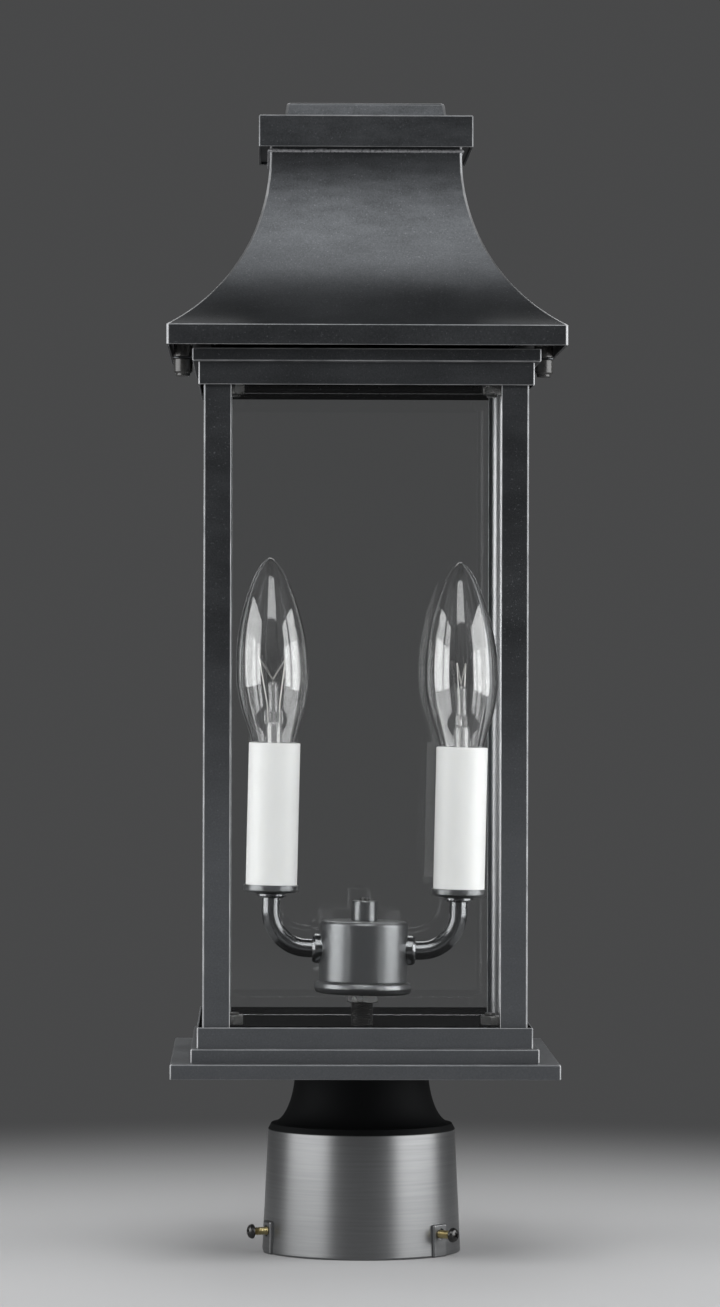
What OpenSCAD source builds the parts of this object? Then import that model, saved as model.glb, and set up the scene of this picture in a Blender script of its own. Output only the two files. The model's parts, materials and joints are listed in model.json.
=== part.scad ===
// Post top lantern with two candle lamps. Millimetres, +Z up.
// The origin is the centre of the post fitter's bottom rim; the front faces -Y.

/* [Post fitter] */
// Diameter of the post that the fitter slides over
post_d = 76.2; // [70:0.1:80]
// Play between post and fitter, all round
post_play = 0.5; // [0.2:0.05:1]
// Wall of the fitter at its rim
fitter_wall = 3.9; // [3:0.1:5]
// Depth that the post goes in
post_depth = 42; // [30:0.5:48]
// Height of the fitter's shoulder
shoulder_h = 52.3; // [50:0.1:60]
// Wall that the shoulder keeps round the post
shoulder_wall = 1.4; // [1:0.1:3]
// Diameter of the fitter's neck under the base plate
fitter_neck_d = 57; // [48:0.1:64]
// Wall of the fitter's flare and the web at its top
web_t = 3.4; // [2.5:0.1:4.5]
// Width of the raised pad round each set screw
pad_w = 8.5; // [7:0.1:11]
// Height of each pad
pad_h = 14; // [11:0.1:18]
// How far each pad stands proud
pad_proud = 0.9; // [0.5:0.05:1.5]
// Height of the set screws
screw_z = 9.8; // [6:0.1:10]
// Shank diameter of the set screws
screw_d = 3.5; // [3:0.1:4]
// Length of a set screw's shank
screw_len = 10.6; // [9:0.1:14]
// Head diameter of the set screws
screw_head_d = 6.2; // [5:0.1:7]
// Head height of the set screws
screw_head_h = 2.6; // [1.8:0.1:3]

/* [Base] */
// Height of the base plate's rim above the fitter's rim
base_z = 79.2; // [75:0.1:90]
// How far the base plate stands out past the base step
plate_overhang = 8.5; // [5:0.1:15]
// Height of the base plate's edge
base_plate_h = 6.3; // [5:0.1:9]
// How far the base step and the upper frame stand out past the trays
step_out = 2.6; // [2:0.1:5]
// Height of the base step
base_step_h = 5.8; // [4.5:0.1:9]
// How far the two trays stand out past the posts
tray_margin = 2.2; // [1.4:0.1:4]
// Height of the base tray
base_tray_h = 8.8; // [8.4:0.1:12]
// Height of the trays' lip round the posts
tray_lip = 3.2; // [2:0.1:3.4]
// Sheet thickness of trays, steps, plates, roof and cap
sheet_t = 1; // [0.8:0.05:1.2]

/* [Glazed body] */
// Width across the outer faces of the posts
frame_w = 135.8; // [132:0.1:137]
// Clear height between the lips of the trays
window_h = 267.9; // [240:0.1:320]
// Width of each face of a corner post
post_face = 11.5; // [9:0.1:14]
// Sheet thickness of the posts
post_t = 1.2; // [1:0.1:1.6]
// Thickness of the glass
glass_t = 3; // [2:0.1:4]
// Diameter of the tie rods
rod_d = 5.5; // [5:0.1:6]
// Thread diameter of the tie rods' ends and of the tray bolts
thread_d = 5; // [4:0.1:5]
// Distance of the tray bolts from the outer faces of the posts
bolt_inset = 12.9; // [11:0.1:14]
// Width of the rim round the opening in the ceiling, from the outer faces of the posts
ceiling_rim = 18.9; // [18.4:0.1:26]

/* [Roof] */
// Height of the top tray
top_tray_h = 9.6; // [9.2:0.1:12]
// How far the roof stands out past the upper frame
roof_overhang = 10.6; // [10.2:0.1:13]
// Height of the upper frame
upper_frame_h = 5.6; // [4.6:0.1:8]
// Gap between the upper frame's top and the fascia's bottom edge
roof_gap = 0.8; // [0.5:0.1:2]
// Height of the fascia
fascia_h = 8.4; // [7:0.1:10]
// Height of the flare from the fascia up to the straight neck
flare_h = 73.6; // [70:0.1:85]
// Width of the neck
neck_w = 81.2; // [72:0.1:84]
// Distance between the flare's top and the cap's bottom edge
neck_h = 3.5; // [3:0.1:8]
// Width of the cap
cap_w = 90.4; // [88:0.1:100]
// Height of the cap
cap_h = 13.4; // [9:0.1:18]
// Width of the block on the cap
block_w = 68.7; // [50:0.1:74]
// Height of the block on the cap
block_h = 6.1; // [4:0.1:10]
// Distance of the thumb nuts from the roof's sides
knob_inset = 5.9; // [5.5:0.1:6]
// Diameter of the thumb nuts and bosses
knob_d = 8.1; // [7:0.1:8.4]
// Height of the thumb nuts without their end
knob_h = 6.2; // [5.8:0.1:7]
// Diameter of the studs
stud_d = 4; // [3:0.1:4.2]

/* [Candle cluster] */
// Room between a bulb and the glass beside it
bulb_room = 7.9; // [6:0.1:12]
// Lean of the cluster on its nipple to the right, in degrees
cluster_lean = 1.2; // [0:0.1:1.5]
// Diameter of the threaded nipple
nipple_d = 9.7; // [9:0.1:10]
// Width of the nipple nuts across corners
nipple_nut_d = 15; // [14:0.1:16]
// Height of the nipple nuts
nipple_nut_h = 3.8; // [3:0.1:4]
// Height of the hub cover's underside above the floor
hub_lift = 13.4; // [12:0.1:16]
// Diameter of the hub cover
hub_cover_d = 42; // [40:0.1:46]
// Height of the hub cover
hub_cover_h = 5.3; // [4:0.1:7]
// Diameter of the hub body
hub_d = 37.8; // [36:0.1:40]
// Height of the hub body
hub_h = 25.9; // [24:0.1:32]
// Diameter of the finial
finial_d = 11.2; // [11:0.1:14]
// Height of the finial
finial_h = 8.6; // [7:0.1:12]
// Diameter of the arm tubes
arm_d = 8; // [7:0.1:8.5]
// Bend radius of the arms, where their reach leaves room for it
arm_bend_most = 16; // [8:0.5:16]
// Height of the arms' roots above the hub cover's underside
arm_lift = 18.9; // [16:0.1:20]
// Diameter of the collars and lock rings on the arms
collar_d = 12.8; // [11:0.1:14]
// Height of the cups' underside above the arms' roots
cup_lift = 23.5; // [23:0.1:30]
// Diameter of the cups
cup_d = 23.5; // [23:0.1:26]
// Height of the cups
cup_h = 3.4; // [3:0.1:5]
// Diameter of the candle sleeves
sleeve_d = 22; // [21:0.1:22.4]
// Length of the candle sleeves
sleeve_h = 62.7; // [58:0.1:75]
// Greatest diameter of a bulb
bulb_d = 31.2; // [28:0.1:31.5]
// Height of a bulb above its sleeve
bulb_h = 79.4; // [70:0.1:90]

/* [Hidden] */
$fn = 64;

// Overrun of every cut past the face it opens, and the fit clearances
over = 1;
fit_gap = 0.1;
free_gap = 0.3;

// Widths from the glazed body outwards and inwards
tray_w = frame_w + 2 * tray_margin;
base_step_w = tray_w + 2 * step_out;
base_plate_w = base_step_w + 2 * plate_overhang;
upper_frame_w = tray_w + 2 * step_out;
roof_w = upper_frame_w + 2 * roof_overhang;
bolt_x = frame_w / 2 - bolt_inset;
ceiling_half = frame_w / 2 - ceiling_rim;
candle_x = frame_w / 2 - post_t - glass_t - bulb_room - bulb_d / 2;

// Heights from the fitter's rim upwards
base_plate_top = base_z + base_plate_h;
base_step_top = base_plate_top + base_step_h;
tray_top = base_step_top + base_tray_h;
floor_z = tray_top - tray_lip;
top_tray_z = tray_top + window_h;
ceiling_z = top_tray_z + tray_lip;
upper_frame_z = top_tray_z + top_tray_h;
upper_frame_top = upper_frame_z + upper_frame_h;
roof_z = upper_frame_top + roof_gap;
fascia_top = roof_z + fascia_h;
flare_top = fascia_top + flare_h;
cap_z = flare_top + neck_h;
cap_top = cap_z + cap_h;

// Fitter
bore_r = post_d / 2 + post_play;
rim_r = bore_r + fitter_wall;
shoulder_d = 2 * (bore_r + shoulder_wall);
// Directions of the set screws, from the front towards the right
screw_azimuths = [-70, 50, 170];
fitter_top = base_plate_top - sheet_t;
seat_step = 3;
flare_steps = 10;
shoulder_round = 2.5;
pad_recess_d = 4.9;
pad_recess_h = 0.8;
nipple_play = 0.9;
nipple_hole_d = nipple_d + 2 * nipple_play;
driver_slot_w = 0.9;
driver_slot_l = 3.6;
driver_slot_h = 1.4;

// Fasteners
bolt_head_d = 9.5;
bolt_head_h = 2.8;
hex_nut_d = 9.2;
bolt_nut_h = 4;
bolt_show = 1.2;
rod_nut_h = 4;
rod_end_show = 0.4;
rod_xy = frame_w / 2 - post_t - glass_t - free_gap - rod_d / 2;

// Roof
flare_run = (roof_w - neck_w) / 2;
cap_floor_recess = 1.2;
neck_top = cap_z + cap_floor_recess;
flare_r = (flare_run * flare_run + flare_h * flare_h) / (2 * flare_run);
ring_lift = 4.6;
ring_z = roof_z + ring_lift;
ring_t = 1;
ring_w = 18.3;
ring_opening_half = roof_w / 2 - sheet_t - ring_w;
upper_frame_rim = 8.7;
knob_x = roof_w / 2 - knob_inset;
bead_t = 0.8;
bead_h = 1.6;
bead_drop = 1.4;
cap_floor_t = 0.8;
ear_t = 0.8;
ear_w = 6.4;
ear_over = 0.5;
knob_chamfer = 0.7;
knob_end_d = 6;
knob_end_h = 1.3;
knob_cap_t = 1.2;
stud_reach = knob_h - knob_cap_t;

// Cluster, in its own upright frame
hub_z = floor_z + hub_lift;
hub_body_z = hub_z + hub_cover_h;
hub_top = hub_body_z + hub_h;
hub_wall = 1.5;
hub_round = 1.8;
arm_z = hub_z + arm_lift;
arm_wall = 1;
arm_thread_len = 11;
arm_inner_x = 11.5;
collar_len = 3.2;
collar_seat = 1.6;
bend_start = 1;
arm_bend_r = min(arm_bend_most, candle_x - hub_d / 2 - collar_len - bend_start);
inner_nut_d = 12.6;
inner_nut_h = 2.6;
inner_nut_x = 12.6;
ring_h = 2.2;
cup_z = arm_z + cup_lift;
cup_floor_t = 1.4;
cup_wall = 0.5;
cup_round = 1;
sleeve_z = cup_z + cup_floor_t;
sleeve_top = sleeve_z + sleeve_h;
sleeve_wall = 1.1;
nipple_show = 2.5;
nipple_bottom = fitter_top - web_t - nipple_nut_h - nipple_show;
nipple_bore_share = 0.5;
finial_top = hub_top + finial_h;
finial_cap_t = 2;
finial_screw_d = 4;
finial_screw_show = 1.3;
wire_hole_d = 4.4;

// Sockets and bulbs, upright
foot_d = 12;
foot_h = 13;
foot_flange_h = 1.6;
socket_z = sleeve_z + foot_h + foot_flange_h;
socket_d = 17.2;
socket_recess = 9.5;
socket_top = sleeve_top - socket_recess;
socket_web_h = 4;
bulb_base_d = 11.7;
bulb_base_h = 14;
bulb_skirt_d = 12.6;
bulb_skirt_h = 1.4;
skirt_lift = 0.7;
bulb_skirt_z = socket_top + skirt_lift;
bulb_base_z = bulb_skirt_z - bulb_base_h;
insulator_h = 1.6;
insulator_d = 6;
tip_d = 4.4;
tip_h = 1.2;
tip_z = bulb_base_z - insulator_h - tip_h;
shell_wall = 0.35;
shell_d = bulb_base_d + 2 * free_gap;
socket_bore_d = shell_d + 2 * shell_wall + fit_gap;
contact_t = 0.6;
socket_web_z = tip_z - free_gap - contact_t - socket_web_h;
bulb_wall = 0.7;
bulb_neck_r = 5.2;
// Outline of a bulb: shares of its height above the sleeve, and of its radius
bulb_outline_shares = [
    [0, 0.605], [0.07, 0.70], [0.19, 0.885], [0.32, 0.995], [0.43, 0.995],
    [0.54, 0.955], [0.65, 0.86], [0.76, 0.71], [0.87, 0.51], [0.94, 0.335], [0.98, 0.18]
];
bulb_tip_share = 0.06;
bulb_fill_steps = 4;
stem_foot_d = 8.4;
stem_waist_d = 5.2;
stem_top_d = 3.2;
stem_h = 26;
stem_flare_h = 9;
filament_h = 36;
filament_reach = 5;
support_d = 0.5;
filament_d = 0.3;

// Wiring
wire_d = 1.9;
wire_sides = 6;
wire_side_gap = 1.15;
connector_d = 6.4;
connector_tip_d = 4.6;
connector_h = 13;
connector_y = 10.4;
connector_lift = 2.5;
connector_z = hub_body_z + connector_lift;

// Square block centred on the axis
module block(side, z0, z1) {
    translate([-side / 2, -side / 2, z0]) cube([side, side, z1 - z0]);
}

// Sheet pan turned upside down: top sheet and four skirts
module pan(side, z0, z1) {
    difference() {
        block(side, z0, z1);
        block(side - 2 * sheet_t, z0 - over, z1 - sheet_t);
    }
}

// Straight hole along Z
module hole(d, z0, z1) {
    translate([0, 0, z0]) cylinder(d = d, h = z1 - z0);
}

module at_bolts() {
    for (side = [-1, 1]) translate([side * bolt_x, 0, 0]) children();
}

module at_rods() {
    for (sx = [-1, 1], sy = [-1, 1]) translate([sx * rod_xy, sy * rod_xy, 0]) children();
}

// Plain hexagon nut with a bore
module hex_nut(corner_d, bore_d, h) {
    difference() {
        cylinder(d = corner_d, h = h, $fn = 6);
        translate([0, 0, -over]) cylinder(d = bore_d, h = h + 2 * over);
    }
}

// Low domed head that stands on z = 0
module domed_head(d, h) {
    ball_r = (d * d / 4 + h * h) / (2 * h);
    intersection() {
        translate([0, 0, h - ball_r]) sphere(r = ball_r);
        cylinder(d = d, h = h);
    }
}

// Turns a piece that faces the front to an azimuth measured towards the right
module at_azimuth(angle) {
    rotate([0, 0, angle]) children();
}

// Stands a piece made along +Z on its side, so that it points to the front
module facing_front() {
    rotate([90, 0, 0]) children();
}

// Places the cluster, built upright, with its lean about the floor
module leaning() {
    translate([0, 0, floor_z]) rotate([0, cluster_lean, 0]) translate([0, 0, -floor_z]) children();
}

module both_candles() {
    leaning() for (side = [-1, 1]) translate([side * candle_x, 0, 0]) children();
}

module one_candle(side) {
    leaning() translate([side * candle_x, 0, 0]) children();
}

// Fitter: radius of the taper at a height, and the outline of the flare
function taper_r(z) = rim_r + (shoulder_d / 2 - rim_r) * z / shoulder_h;

flare_rise = base_z - shoulder_h - shoulder_round;
fitter_flare_run = shoulder_d / 2 - shoulder_round / 2 - fitter_neck_d / 2;
fitter_flare_points = [
    for (i = [0 : flare_steps])
        let (angle = 90 * i / flare_steps, lift = flare_rise * (1 - cos(angle)))
            [fitter_neck_d / 2 + fitter_flare_run * (1 - sin(angle)),
             shoulder_h + shoulder_round + lift]
];
shoulder_points = [
    for (i = [0 : flare_steps])
        let (angle = 90 * i / flare_steps)
            [shoulder_d / 2 - shoulder_round / 2 * (1 - cos(angle)),
             shoulder_h + shoulder_round * sin(angle)]
];

module fitter_outside() {
    rotate_extrude($fn = 96) polygon(concat(
        [[0, 0], [rim_r, 0]],
        shoulder_points,
        fitter_flare_points,
        [[fitter_neck_d / 2, fitter_top], [0, fitter_top]]
    ));
}

// Bore for the post, its stop, and the flare's inside, a wall below and within its outside
module fitter_inside() {
    rotate_extrude($fn = 96) polygon(concat(
        [[0, -over], [bore_r, -over], [bore_r, post_depth], [bore_r - seat_step, post_depth],
         [bore_r - seat_step, shoulder_h + shoulder_round - web_t]],
        [for (p = fitter_flare_points) p - [web_t, web_t]],
        [[fitter_neck_d / 2 - web_t, fitter_top - web_t], [0, fitter_top - web_t]]
    ));
}

module fitter_pad() {
    outer = rim_r + pad_proud;
    translate([-pad_w / 2, -outer, 0]) cube([pad_w, outer, pad_h]);
}

module post_fitter() {
    color("#26282b") difference() {
        union() {
            fitter_outside();
            for (angle = screw_azimuths) at_azimuth(angle) fitter_pad();
        }
        fitter_inside();
        hole(nipple_hole_d, fitter_top - web_t - over, fitter_top + over);
        for (angle = screw_azimuths) at_azimuth(angle) translate([0, 0, screw_z]) facing_front() {
            cylinder(d = screw_d + fit_gap, h = rim_r + pad_proud + over);
            translate([0, 0, rim_r + pad_proud - pad_recess_h])
                cylinder(d = pad_recess_d, h = pad_recess_h + over);
        }
    }
}

module set_screw(angle) {
    color("#b59a4e") at_azimuth(angle) translate([0, 0, screw_z]) facing_front()
        translate([0, 0, bore_r + fit_gap]) difference() {
            union() {
                cylinder(d = screw_d, h = screw_len);
                translate([0, 0, screw_len]) domed_head(screw_head_d, screw_head_h);
            }
            for (turn = [0, 90])
                translate([0, 0, screw_len + screw_head_h - driver_slot_h / 2])
                    rotate([0, 0, turn])
                        cube([driver_slot_l, driver_slot_w, driver_slot_h], center = true);
        }
}

module base_plate() {
    color("#202225") difference() {
        pan(base_plate_w, base_z, base_plate_top);
        hole(nipple_hole_d, base_z, base_plate_top + over);
        at_bolts() hole(thread_d + 2 * fit_gap, base_z, base_plate_top + over);
    }
}

module base_step() {
    color("#202225") difference() {
        pan(base_step_w, base_plate_top, base_step_top);
        hole(nipple_hole_d, base_plate_top, base_step_top + over);
        at_bolts() hole(thread_d + 2 * fit_gap, base_plate_top, base_step_top + over);
    }
}

// Tray whose plate lies between a lip and a skirt; the lip stands up or hangs down
module tray_body(z0, plate_z, z1) {
    difference() {
        block(tray_w, z0, z1);
        block(tray_w - 2 * sheet_t, z0 - over, plate_z);
        block(tray_w - 2 * sheet_t, plate_z + sheet_t, z1 + over);
    }
}

module base_tray() {
    color("#202225") difference() {
        tray_body(base_step_top, floor_z - sheet_t, tray_top);
        hole(nipple_hole_d, base_step_top, tray_top);
        at_bolts() hole(thread_d + 2 * fit_gap, base_step_top, tray_top);
        at_rods() hole(thread_d + 2 * fit_gap, base_step_top, tray_top);
    }
}

module top_tray() {
    color("#202225") difference() {
        tray_body(top_tray_z, ceiling_z, upper_frame_z);
        block(2 * ceiling_half, top_tray_z, upper_frame_z);
        at_bolts() hole(thread_d + 2 * fit_gap, top_tray_z, upper_frame_z);
        at_rods() hole(thread_d + 2 * fit_gap, top_tray_z, upper_frame_z);
    }
}

module ear() {
    reach = knob_x + knob_d / 2 + ear_over - ear_w / 2;
    translate([upper_frame_w / 2 - over, -ear_w / 2, upper_frame_top - ear_t])
        cube([reach - upper_frame_w / 2 + over, ear_w, ear_t]);
    translate([reach, 0, upper_frame_top - ear_t]) cylinder(d = ear_w, h = ear_t);
}

module upper_frame() {
    color("#202225") difference() {
        union() {
            block(upper_frame_w, upper_frame_z, upper_frame_top);
            ear();
            rotate([0, 0, 180]) ear();
        }
        block(upper_frame_w - 2 * sheet_t, upper_frame_z + sheet_t, upper_frame_top - sheet_t);
        block(2 * ceiling_half, upper_frame_z - over, upper_frame_top + over);
        block(upper_frame_w - 2 * upper_frame_rim, upper_frame_z - over,
              upper_frame_z + sheet_t + over);
        at_bolts() hole(thread_d + 2 * fit_gap, upper_frame_z, upper_frame_top + over);
        for (side = [-1, 1]) translate([side * knob_x, 0, 0])
            hole(stud_d + 2 * free_gap, upper_frame_z, upper_frame_top + over);
    }
}

// A bolt with its head at z0 and its thread end at z1; it may point up or down
module tray_bolt(z0, z1) {
    way = z1 > z0 ? 1 : 0;
    translate([0, 0, z0]) rotate([way * 180, 0, 0]) domed_head(bolt_head_d, bolt_head_h);
    translate([0, 0, min(z0, z1)]) cylinder(d = thread_d, h = abs(z1 - z0));
}

module tray_bolts() {
    color("#2b2d30") at_bolts() {
        tray_bolt(base_plate_top - sheet_t, floor_z + bolt_nut_h + bolt_show);
        tray_bolt(upper_frame_top, ceiling_z - bolt_nut_h - bolt_show);
    }
}

module tray_bolt_nuts() {
    color("#2b2d30") at_bolts() {
        translate([0, 0, floor_z]) hex_nut(hex_nut_d, thread_d + fit_gap, bolt_nut_h);
        translate([0, 0, ceiling_z - bolt_nut_h])
            hex_nut(hex_nut_d, thread_d + fit_gap, bolt_nut_h);
    }
}

module tie_rods() {
    end_len = sheet_t + rod_nut_h + rod_end_show;
    color("#6b6d70") at_rods() {
        translate([0, 0, floor_z]) cylinder(d = rod_d, h = ceiling_z - floor_z);
        translate([0, 0, floor_z - end_len])
            cylinder(d = thread_d, h = ceiling_z - floor_z + 2 * end_len);
    }
}

module tie_rod_nuts() {
    color("#6b6d70") at_rods() {
        translate([0, 0, floor_z - sheet_t - rod_nut_h])
            hex_nut(hex_nut_d, thread_d + fit_gap, rod_nut_h);
        translate([0, 0, ceiling_z + sheet_t])
            hex_nut(hex_nut_d, thread_d + fit_gap, rod_nut_h);
    }
}

// Folded angle in one corner of the glazed body
module corner_post(sx, sy) {
    outer = frame_w / 2;
    inner = outer - post_face;
    color("#1e2023") mirror([sx < 0 ? 1 : 0, 0, 0]) mirror([0, sy < 0 ? 1 : 0, 0]) difference() {
        translate([inner, inner, floor_z])
            cube([post_face, post_face, ceiling_z - floor_z]);
        translate([inner - over, inner - over, floor_z - over])
            cube([post_face - post_t + over, post_face - post_t + over,
                  ceiling_z - floor_z + 2 * over]);
    }
}

glass_out = frame_w / 2 - post_t;
glass_top = ceiling_z - 2 * free_gap;

// Pane across the front or the back
module wide_pane(sy) {
    half = glass_out - free_gap;
    color("#c9d2d6", 0.3) mirror([0, sy < 0 ? 1 : 0, 0])
        translate([-half, glass_out - glass_t, floor_z])
            cube([2 * half, glass_t, glass_top - floor_z]);
}

// Pane on the left or the right, between the other two
module side_pane(sx) {
    half = glass_out - glass_t - free_gap;
    color("#c9d2d6", 0.3) mirror([sx < 0 ? 1 : 0, 0, 0])
        translate([glass_out - glass_t, -half, floor_z])
            cube([glass_t, 2 * half, glass_top - floor_z]);
}

// Outline of the roof in the XZ plane, drawn in by t for the inside of its sheet
module roof_outline(t) {
    half = roof_w / 2 - t;
    neck_half = neck_w / 2 - t;
    arc_r = flare_r + t;
    centre_x = neck_w / 2 + flare_r;
    arc_foot = flare_top - sqrt(arc_r * arc_r - (centre_x - half) * (centre_x - half));
    bottom = t > 0 ? roof_z - over : roof_z;
    top = t > 0 ? neck_top + over : neck_top;
    difference() {
        translate([-half, bottom]) square([2 * half, flare_top - bottom]);
        for (side = [-1, 1]) intersection() {
            translate([side * centre_x, flare_top]) circle(r = arc_r, $fn = 96);
            translate([-roof_w, arc_foot]) square([2 * roof_w, flare_top + over - arc_foot]);
        }
    }
    translate([-neck_half, flare_top - over]) square([2 * neck_half, top + over - flare_top]);
}

// Long bar with that outline, along Y
module roof_bar(t) {
    translate([0, roof_w, 0]) rotate([90, 0, 0])
        linear_extrude(height = 2 * roof_w) roof_outline(t);
}

// Square hipped form with that outline on all four sides
module roof_form(t) {
    intersection() {
        roof_bar(t);
        rotate([0, 0, 90]) roof_bar(t);
    }
}

module roof_shell() {
    color("#23262a") difference() {
        roof_form(0);
        roof_form(sheet_t);
    }
}

module roof_ring() {
    color("#1b1d1f") difference() {
        block(roof_w - 2 * sheet_t, ring_z, ring_z + ring_t);
        block(2 * ring_opening_half, ring_z - over, ring_z + ring_t + over);
        for (side = [-1, 1]) translate([side * knob_x, 0, 0])
            hole(stud_d + fit_gap, ring_z - over, ring_z + ring_t + over);
    }
}

module roof_studs() {
    stud_bottom = upper_frame_top - ear_t - fit_gap - stud_reach;
    color("#1b1d1f") for (side = [-1, 1]) translate([side * knob_x, 0, 0]) {
        hole(knob_d, upper_frame_top, ring_z);
        hole(stud_d, stud_bottom, ring_z + ring_t);
    }
}

module neck_bead() {
    z1 = cap_z - bead_drop + bead_h / 2;
    color("#4a4d50") difference() {
        block(neck_w + 2 * bead_t, z1 - bead_h, z1);
        block(neck_w, z1 - bead_h - over, z1 + over);
    }
}

module cap_floor() {
    z0 = cap_z + cap_floor_recess;
    color("#15171a") block(cap_w - 2 * sheet_t, z0, z0 + cap_floor_t);
}

module chimney_cap() {
    color("#1f2124") pan(cap_w, cap_z, cap_top);
}

module cap_block() {
    color("#2a2d30") pan(block_w, cap_top, cap_top + block_h);
}

// Thumb nut: blind bore from above, chamfer and a narrower end below
module thumb_nut(side) {
    top = upper_frame_top - ear_t - fit_gap;
    color("#1b1d1f") translate([side * knob_x, 0, 0]) difference() {
        union() {
            hole(knob_d, top - knob_h + knob_chamfer, top);
            translate([0, 0, top - knob_h])
                cylinder(d1 = knob_d - 2 * knob_chamfer, d2 = knob_d, h = knob_chamfer);
            hole(knob_end_d, top - knob_h - knob_end_h, top - knob_h);
        }
        hole(stud_d + fit_gap, top - stud_reach - fit_gap, top + over);
    }
}

module stem_nipple() {
    color("#26282b") leaning() difference() {
        hole(nipple_d, nipple_bottom, finial_top - finial_cap_t);
        translate([0, 0, arm_z]) facing_front() translate([0, 0, -nipple_d])
            cylinder(d = wire_hole_d, h = 2 * nipple_d);
        hole(nipple_bore_share * nipple_d, nipple_bottom - over, finial_top);
    }
}

module nipple_nuts() {
    color("#26282b") leaning() for (z0 = [
        fitter_top - web_t - nipple_nut_h - free_gap,
        base_plate_top + free_gap,
        hub_z - nipple_nut_h
    ]) translate([0, 0, z0]) hex_nut(nipple_nut_d, nipple_d + fit_gap, nipple_nut_h);
}

// Disc under the hub with a half-round edge
module hub_cover() {
    edge_r = hub_cover_h / 2;
    color("#24262a") leaning() translate([0, 0, hub_z]) rotate_extrude() difference() {
        union() {
            square([hub_cover_d / 2 - edge_r, hub_cover_h]);
            intersection() {
                translate([hub_cover_d / 2 - edge_r, edge_r]) circle(r = edge_r);
                square([hub_cover_d, hub_cover_h]);
            }
        }
        translate([-over, -over])
            square([nipple_d / 2 + fit_gap + over, hub_cover_h + 2 * over]);
    }
}

// Can with a rounded upper edge, open below
module hub_body() {
    r = hub_d / 2;
    color("#24262a") leaning() difference() {
        translate([0, 0, hub_body_z]) rotate_extrude() {
            square([r, hub_h - hub_round]);
            square([r - hub_round, hub_h]);
            intersection() {
                translate([r - hub_round, hub_h - hub_round]) circle(r = hub_round);
                square([hub_d, hub_h]);
            }
        }
        hole(hub_d - 2 * hub_wall, hub_body_z - over, hub_top - hub_wall);
        hole(nipple_d + 2 * fit_gap, hub_body_z, hub_top + over);
        translate([0, 0, arm_z]) rotate([0, 90, 0]) translate([0, 0, -hub_d])
            cylinder(d = arm_d + 2 * fit_gap, h = 2 * hub_d);
    }
}

module hub_finial() {
    color("#24262a") leaning() difference() {
        hole(finial_d, hub_top, finial_top);
        hole(nipple_d + fit_gap, hub_top - over, finial_top - finial_cap_t + fit_gap);
        hole(finial_screw_d + fit_gap, hub_top, finial_top + over);
    }
}

module finial_screw() {
    color("#2b2d30") leaning()
        hole(finial_screw_d, finial_top - finial_cap_t + 2 * fit_gap,
             finial_top + finial_screw_show);
}

// Centre line of an arm as solids: root, quarter bend and riser
module arm_form(d, root_x, top_z) {
    bend_x = candle_x - arm_bend_r;
    translate([root_x, 0, arm_z]) rotate([0, 90, 0]) cylinder(d = d, h = bend_x - root_x);
    translate([bend_x, 0, arm_z + arm_bend_r]) rotate([90, 0, 0]) rotate([0, 0, -90])
        rotate_extrude(angle = 90) translate([arm_bend_r, 0]) circle(d = d);
    translate([candle_x, 0, arm_z + arm_bend_r])
        cylinder(d = d, h = top_z - arm_z - arm_bend_r);
}

module arm(side) {
    top_z = sleeve_z + arm_thread_len;
    color("#24262a") leaning() mirror([side < 0 ? 1 : 0, 0, 0]) difference() {
        arm_form(arm_d, arm_inner_x, top_z);
        arm_form(arm_d - 2 * arm_wall, arm_inner_x - over, top_z + over);
    }
}

module both_arms() {
    leaning() for (side = [0, 1]) mirror([side, 0, 0]) children();
}

module arm_collars() {
    color("#24262a") both_arms() difference() {
        translate([hub_d / 2 - collar_seat, 0, arm_z]) rotate([0, 90, 0])
            cylinder(d = collar_d, h = collar_len + collar_seat);
        hole(hub_d + 2 * fit_gap, arm_z - collar_d, arm_z + collar_d);
        translate([0, 0, arm_z]) rotate([0, 90, 0])
            cylinder(d = arm_d + fit_gap, h = hub_d);
    }
}

module arm_inner_nuts() {
    color("#6b6d70") both_arms() translate([inner_nut_x, 0, arm_z]) rotate([0, 90, 0])
        hex_nut(inner_nut_d, arm_d + fit_gap, inner_nut_h);
}

module arm_lock_rings() {
    color("#24262a") both_candles() difference() {
        hole(collar_d, cup_z - ring_h, cup_z);
        hole(arm_d + fit_gap, cup_z - ring_h - over, cup_z + over);
    }
}

module cup(side) {
    r = cup_d / 2;
    color("#24262a") one_candle(side) difference() {
        translate([0, 0, cup_z]) rotate_extrude() {
            translate([0, cup_round]) square([r, cup_h - cup_round]);
            square([r - cup_round, cup_h]);
            intersection() {
                translate([r - cup_round, cup_round]) circle(r = cup_round, $fn = 32);
                square([r, cup_h]);
            }
        }
        hole(cup_d - 2 * cup_wall, sleeve_z, cup_z + cup_h + over);
        hole(arm_d + fit_gap, cup_z - over, sleeve_z + over);
    }
}

module candle_sleeve(side) {
    color("#e4e4e2") one_candle(side) difference() {
        hole(sleeve_d, sleeve_z, sleeve_top);
        hole(sleeve_d - 2 * sleeve_wall, sleeve_z - over, sleeve_top + over);
    }
}

module socket_feet() {
    color("#8d8f92") both_candles() difference() {
        union() {
            hole(foot_d, sleeve_z, socket_z);
            hole(socket_d, socket_z - foot_flange_h, socket_z);
        }
        hole(arm_d + fit_gap, sleeve_z - over, socket_z + over);
    }
}

module socket_bodies() {
    color("#2a2520") both_candles() difference() {
        hole(socket_d, socket_z, socket_top);
        hole(socket_bore_d, socket_z - over, socket_web_z);
        hole(socket_bore_d, socket_web_z + socket_web_h, socket_top + over);
    }
}

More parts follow.
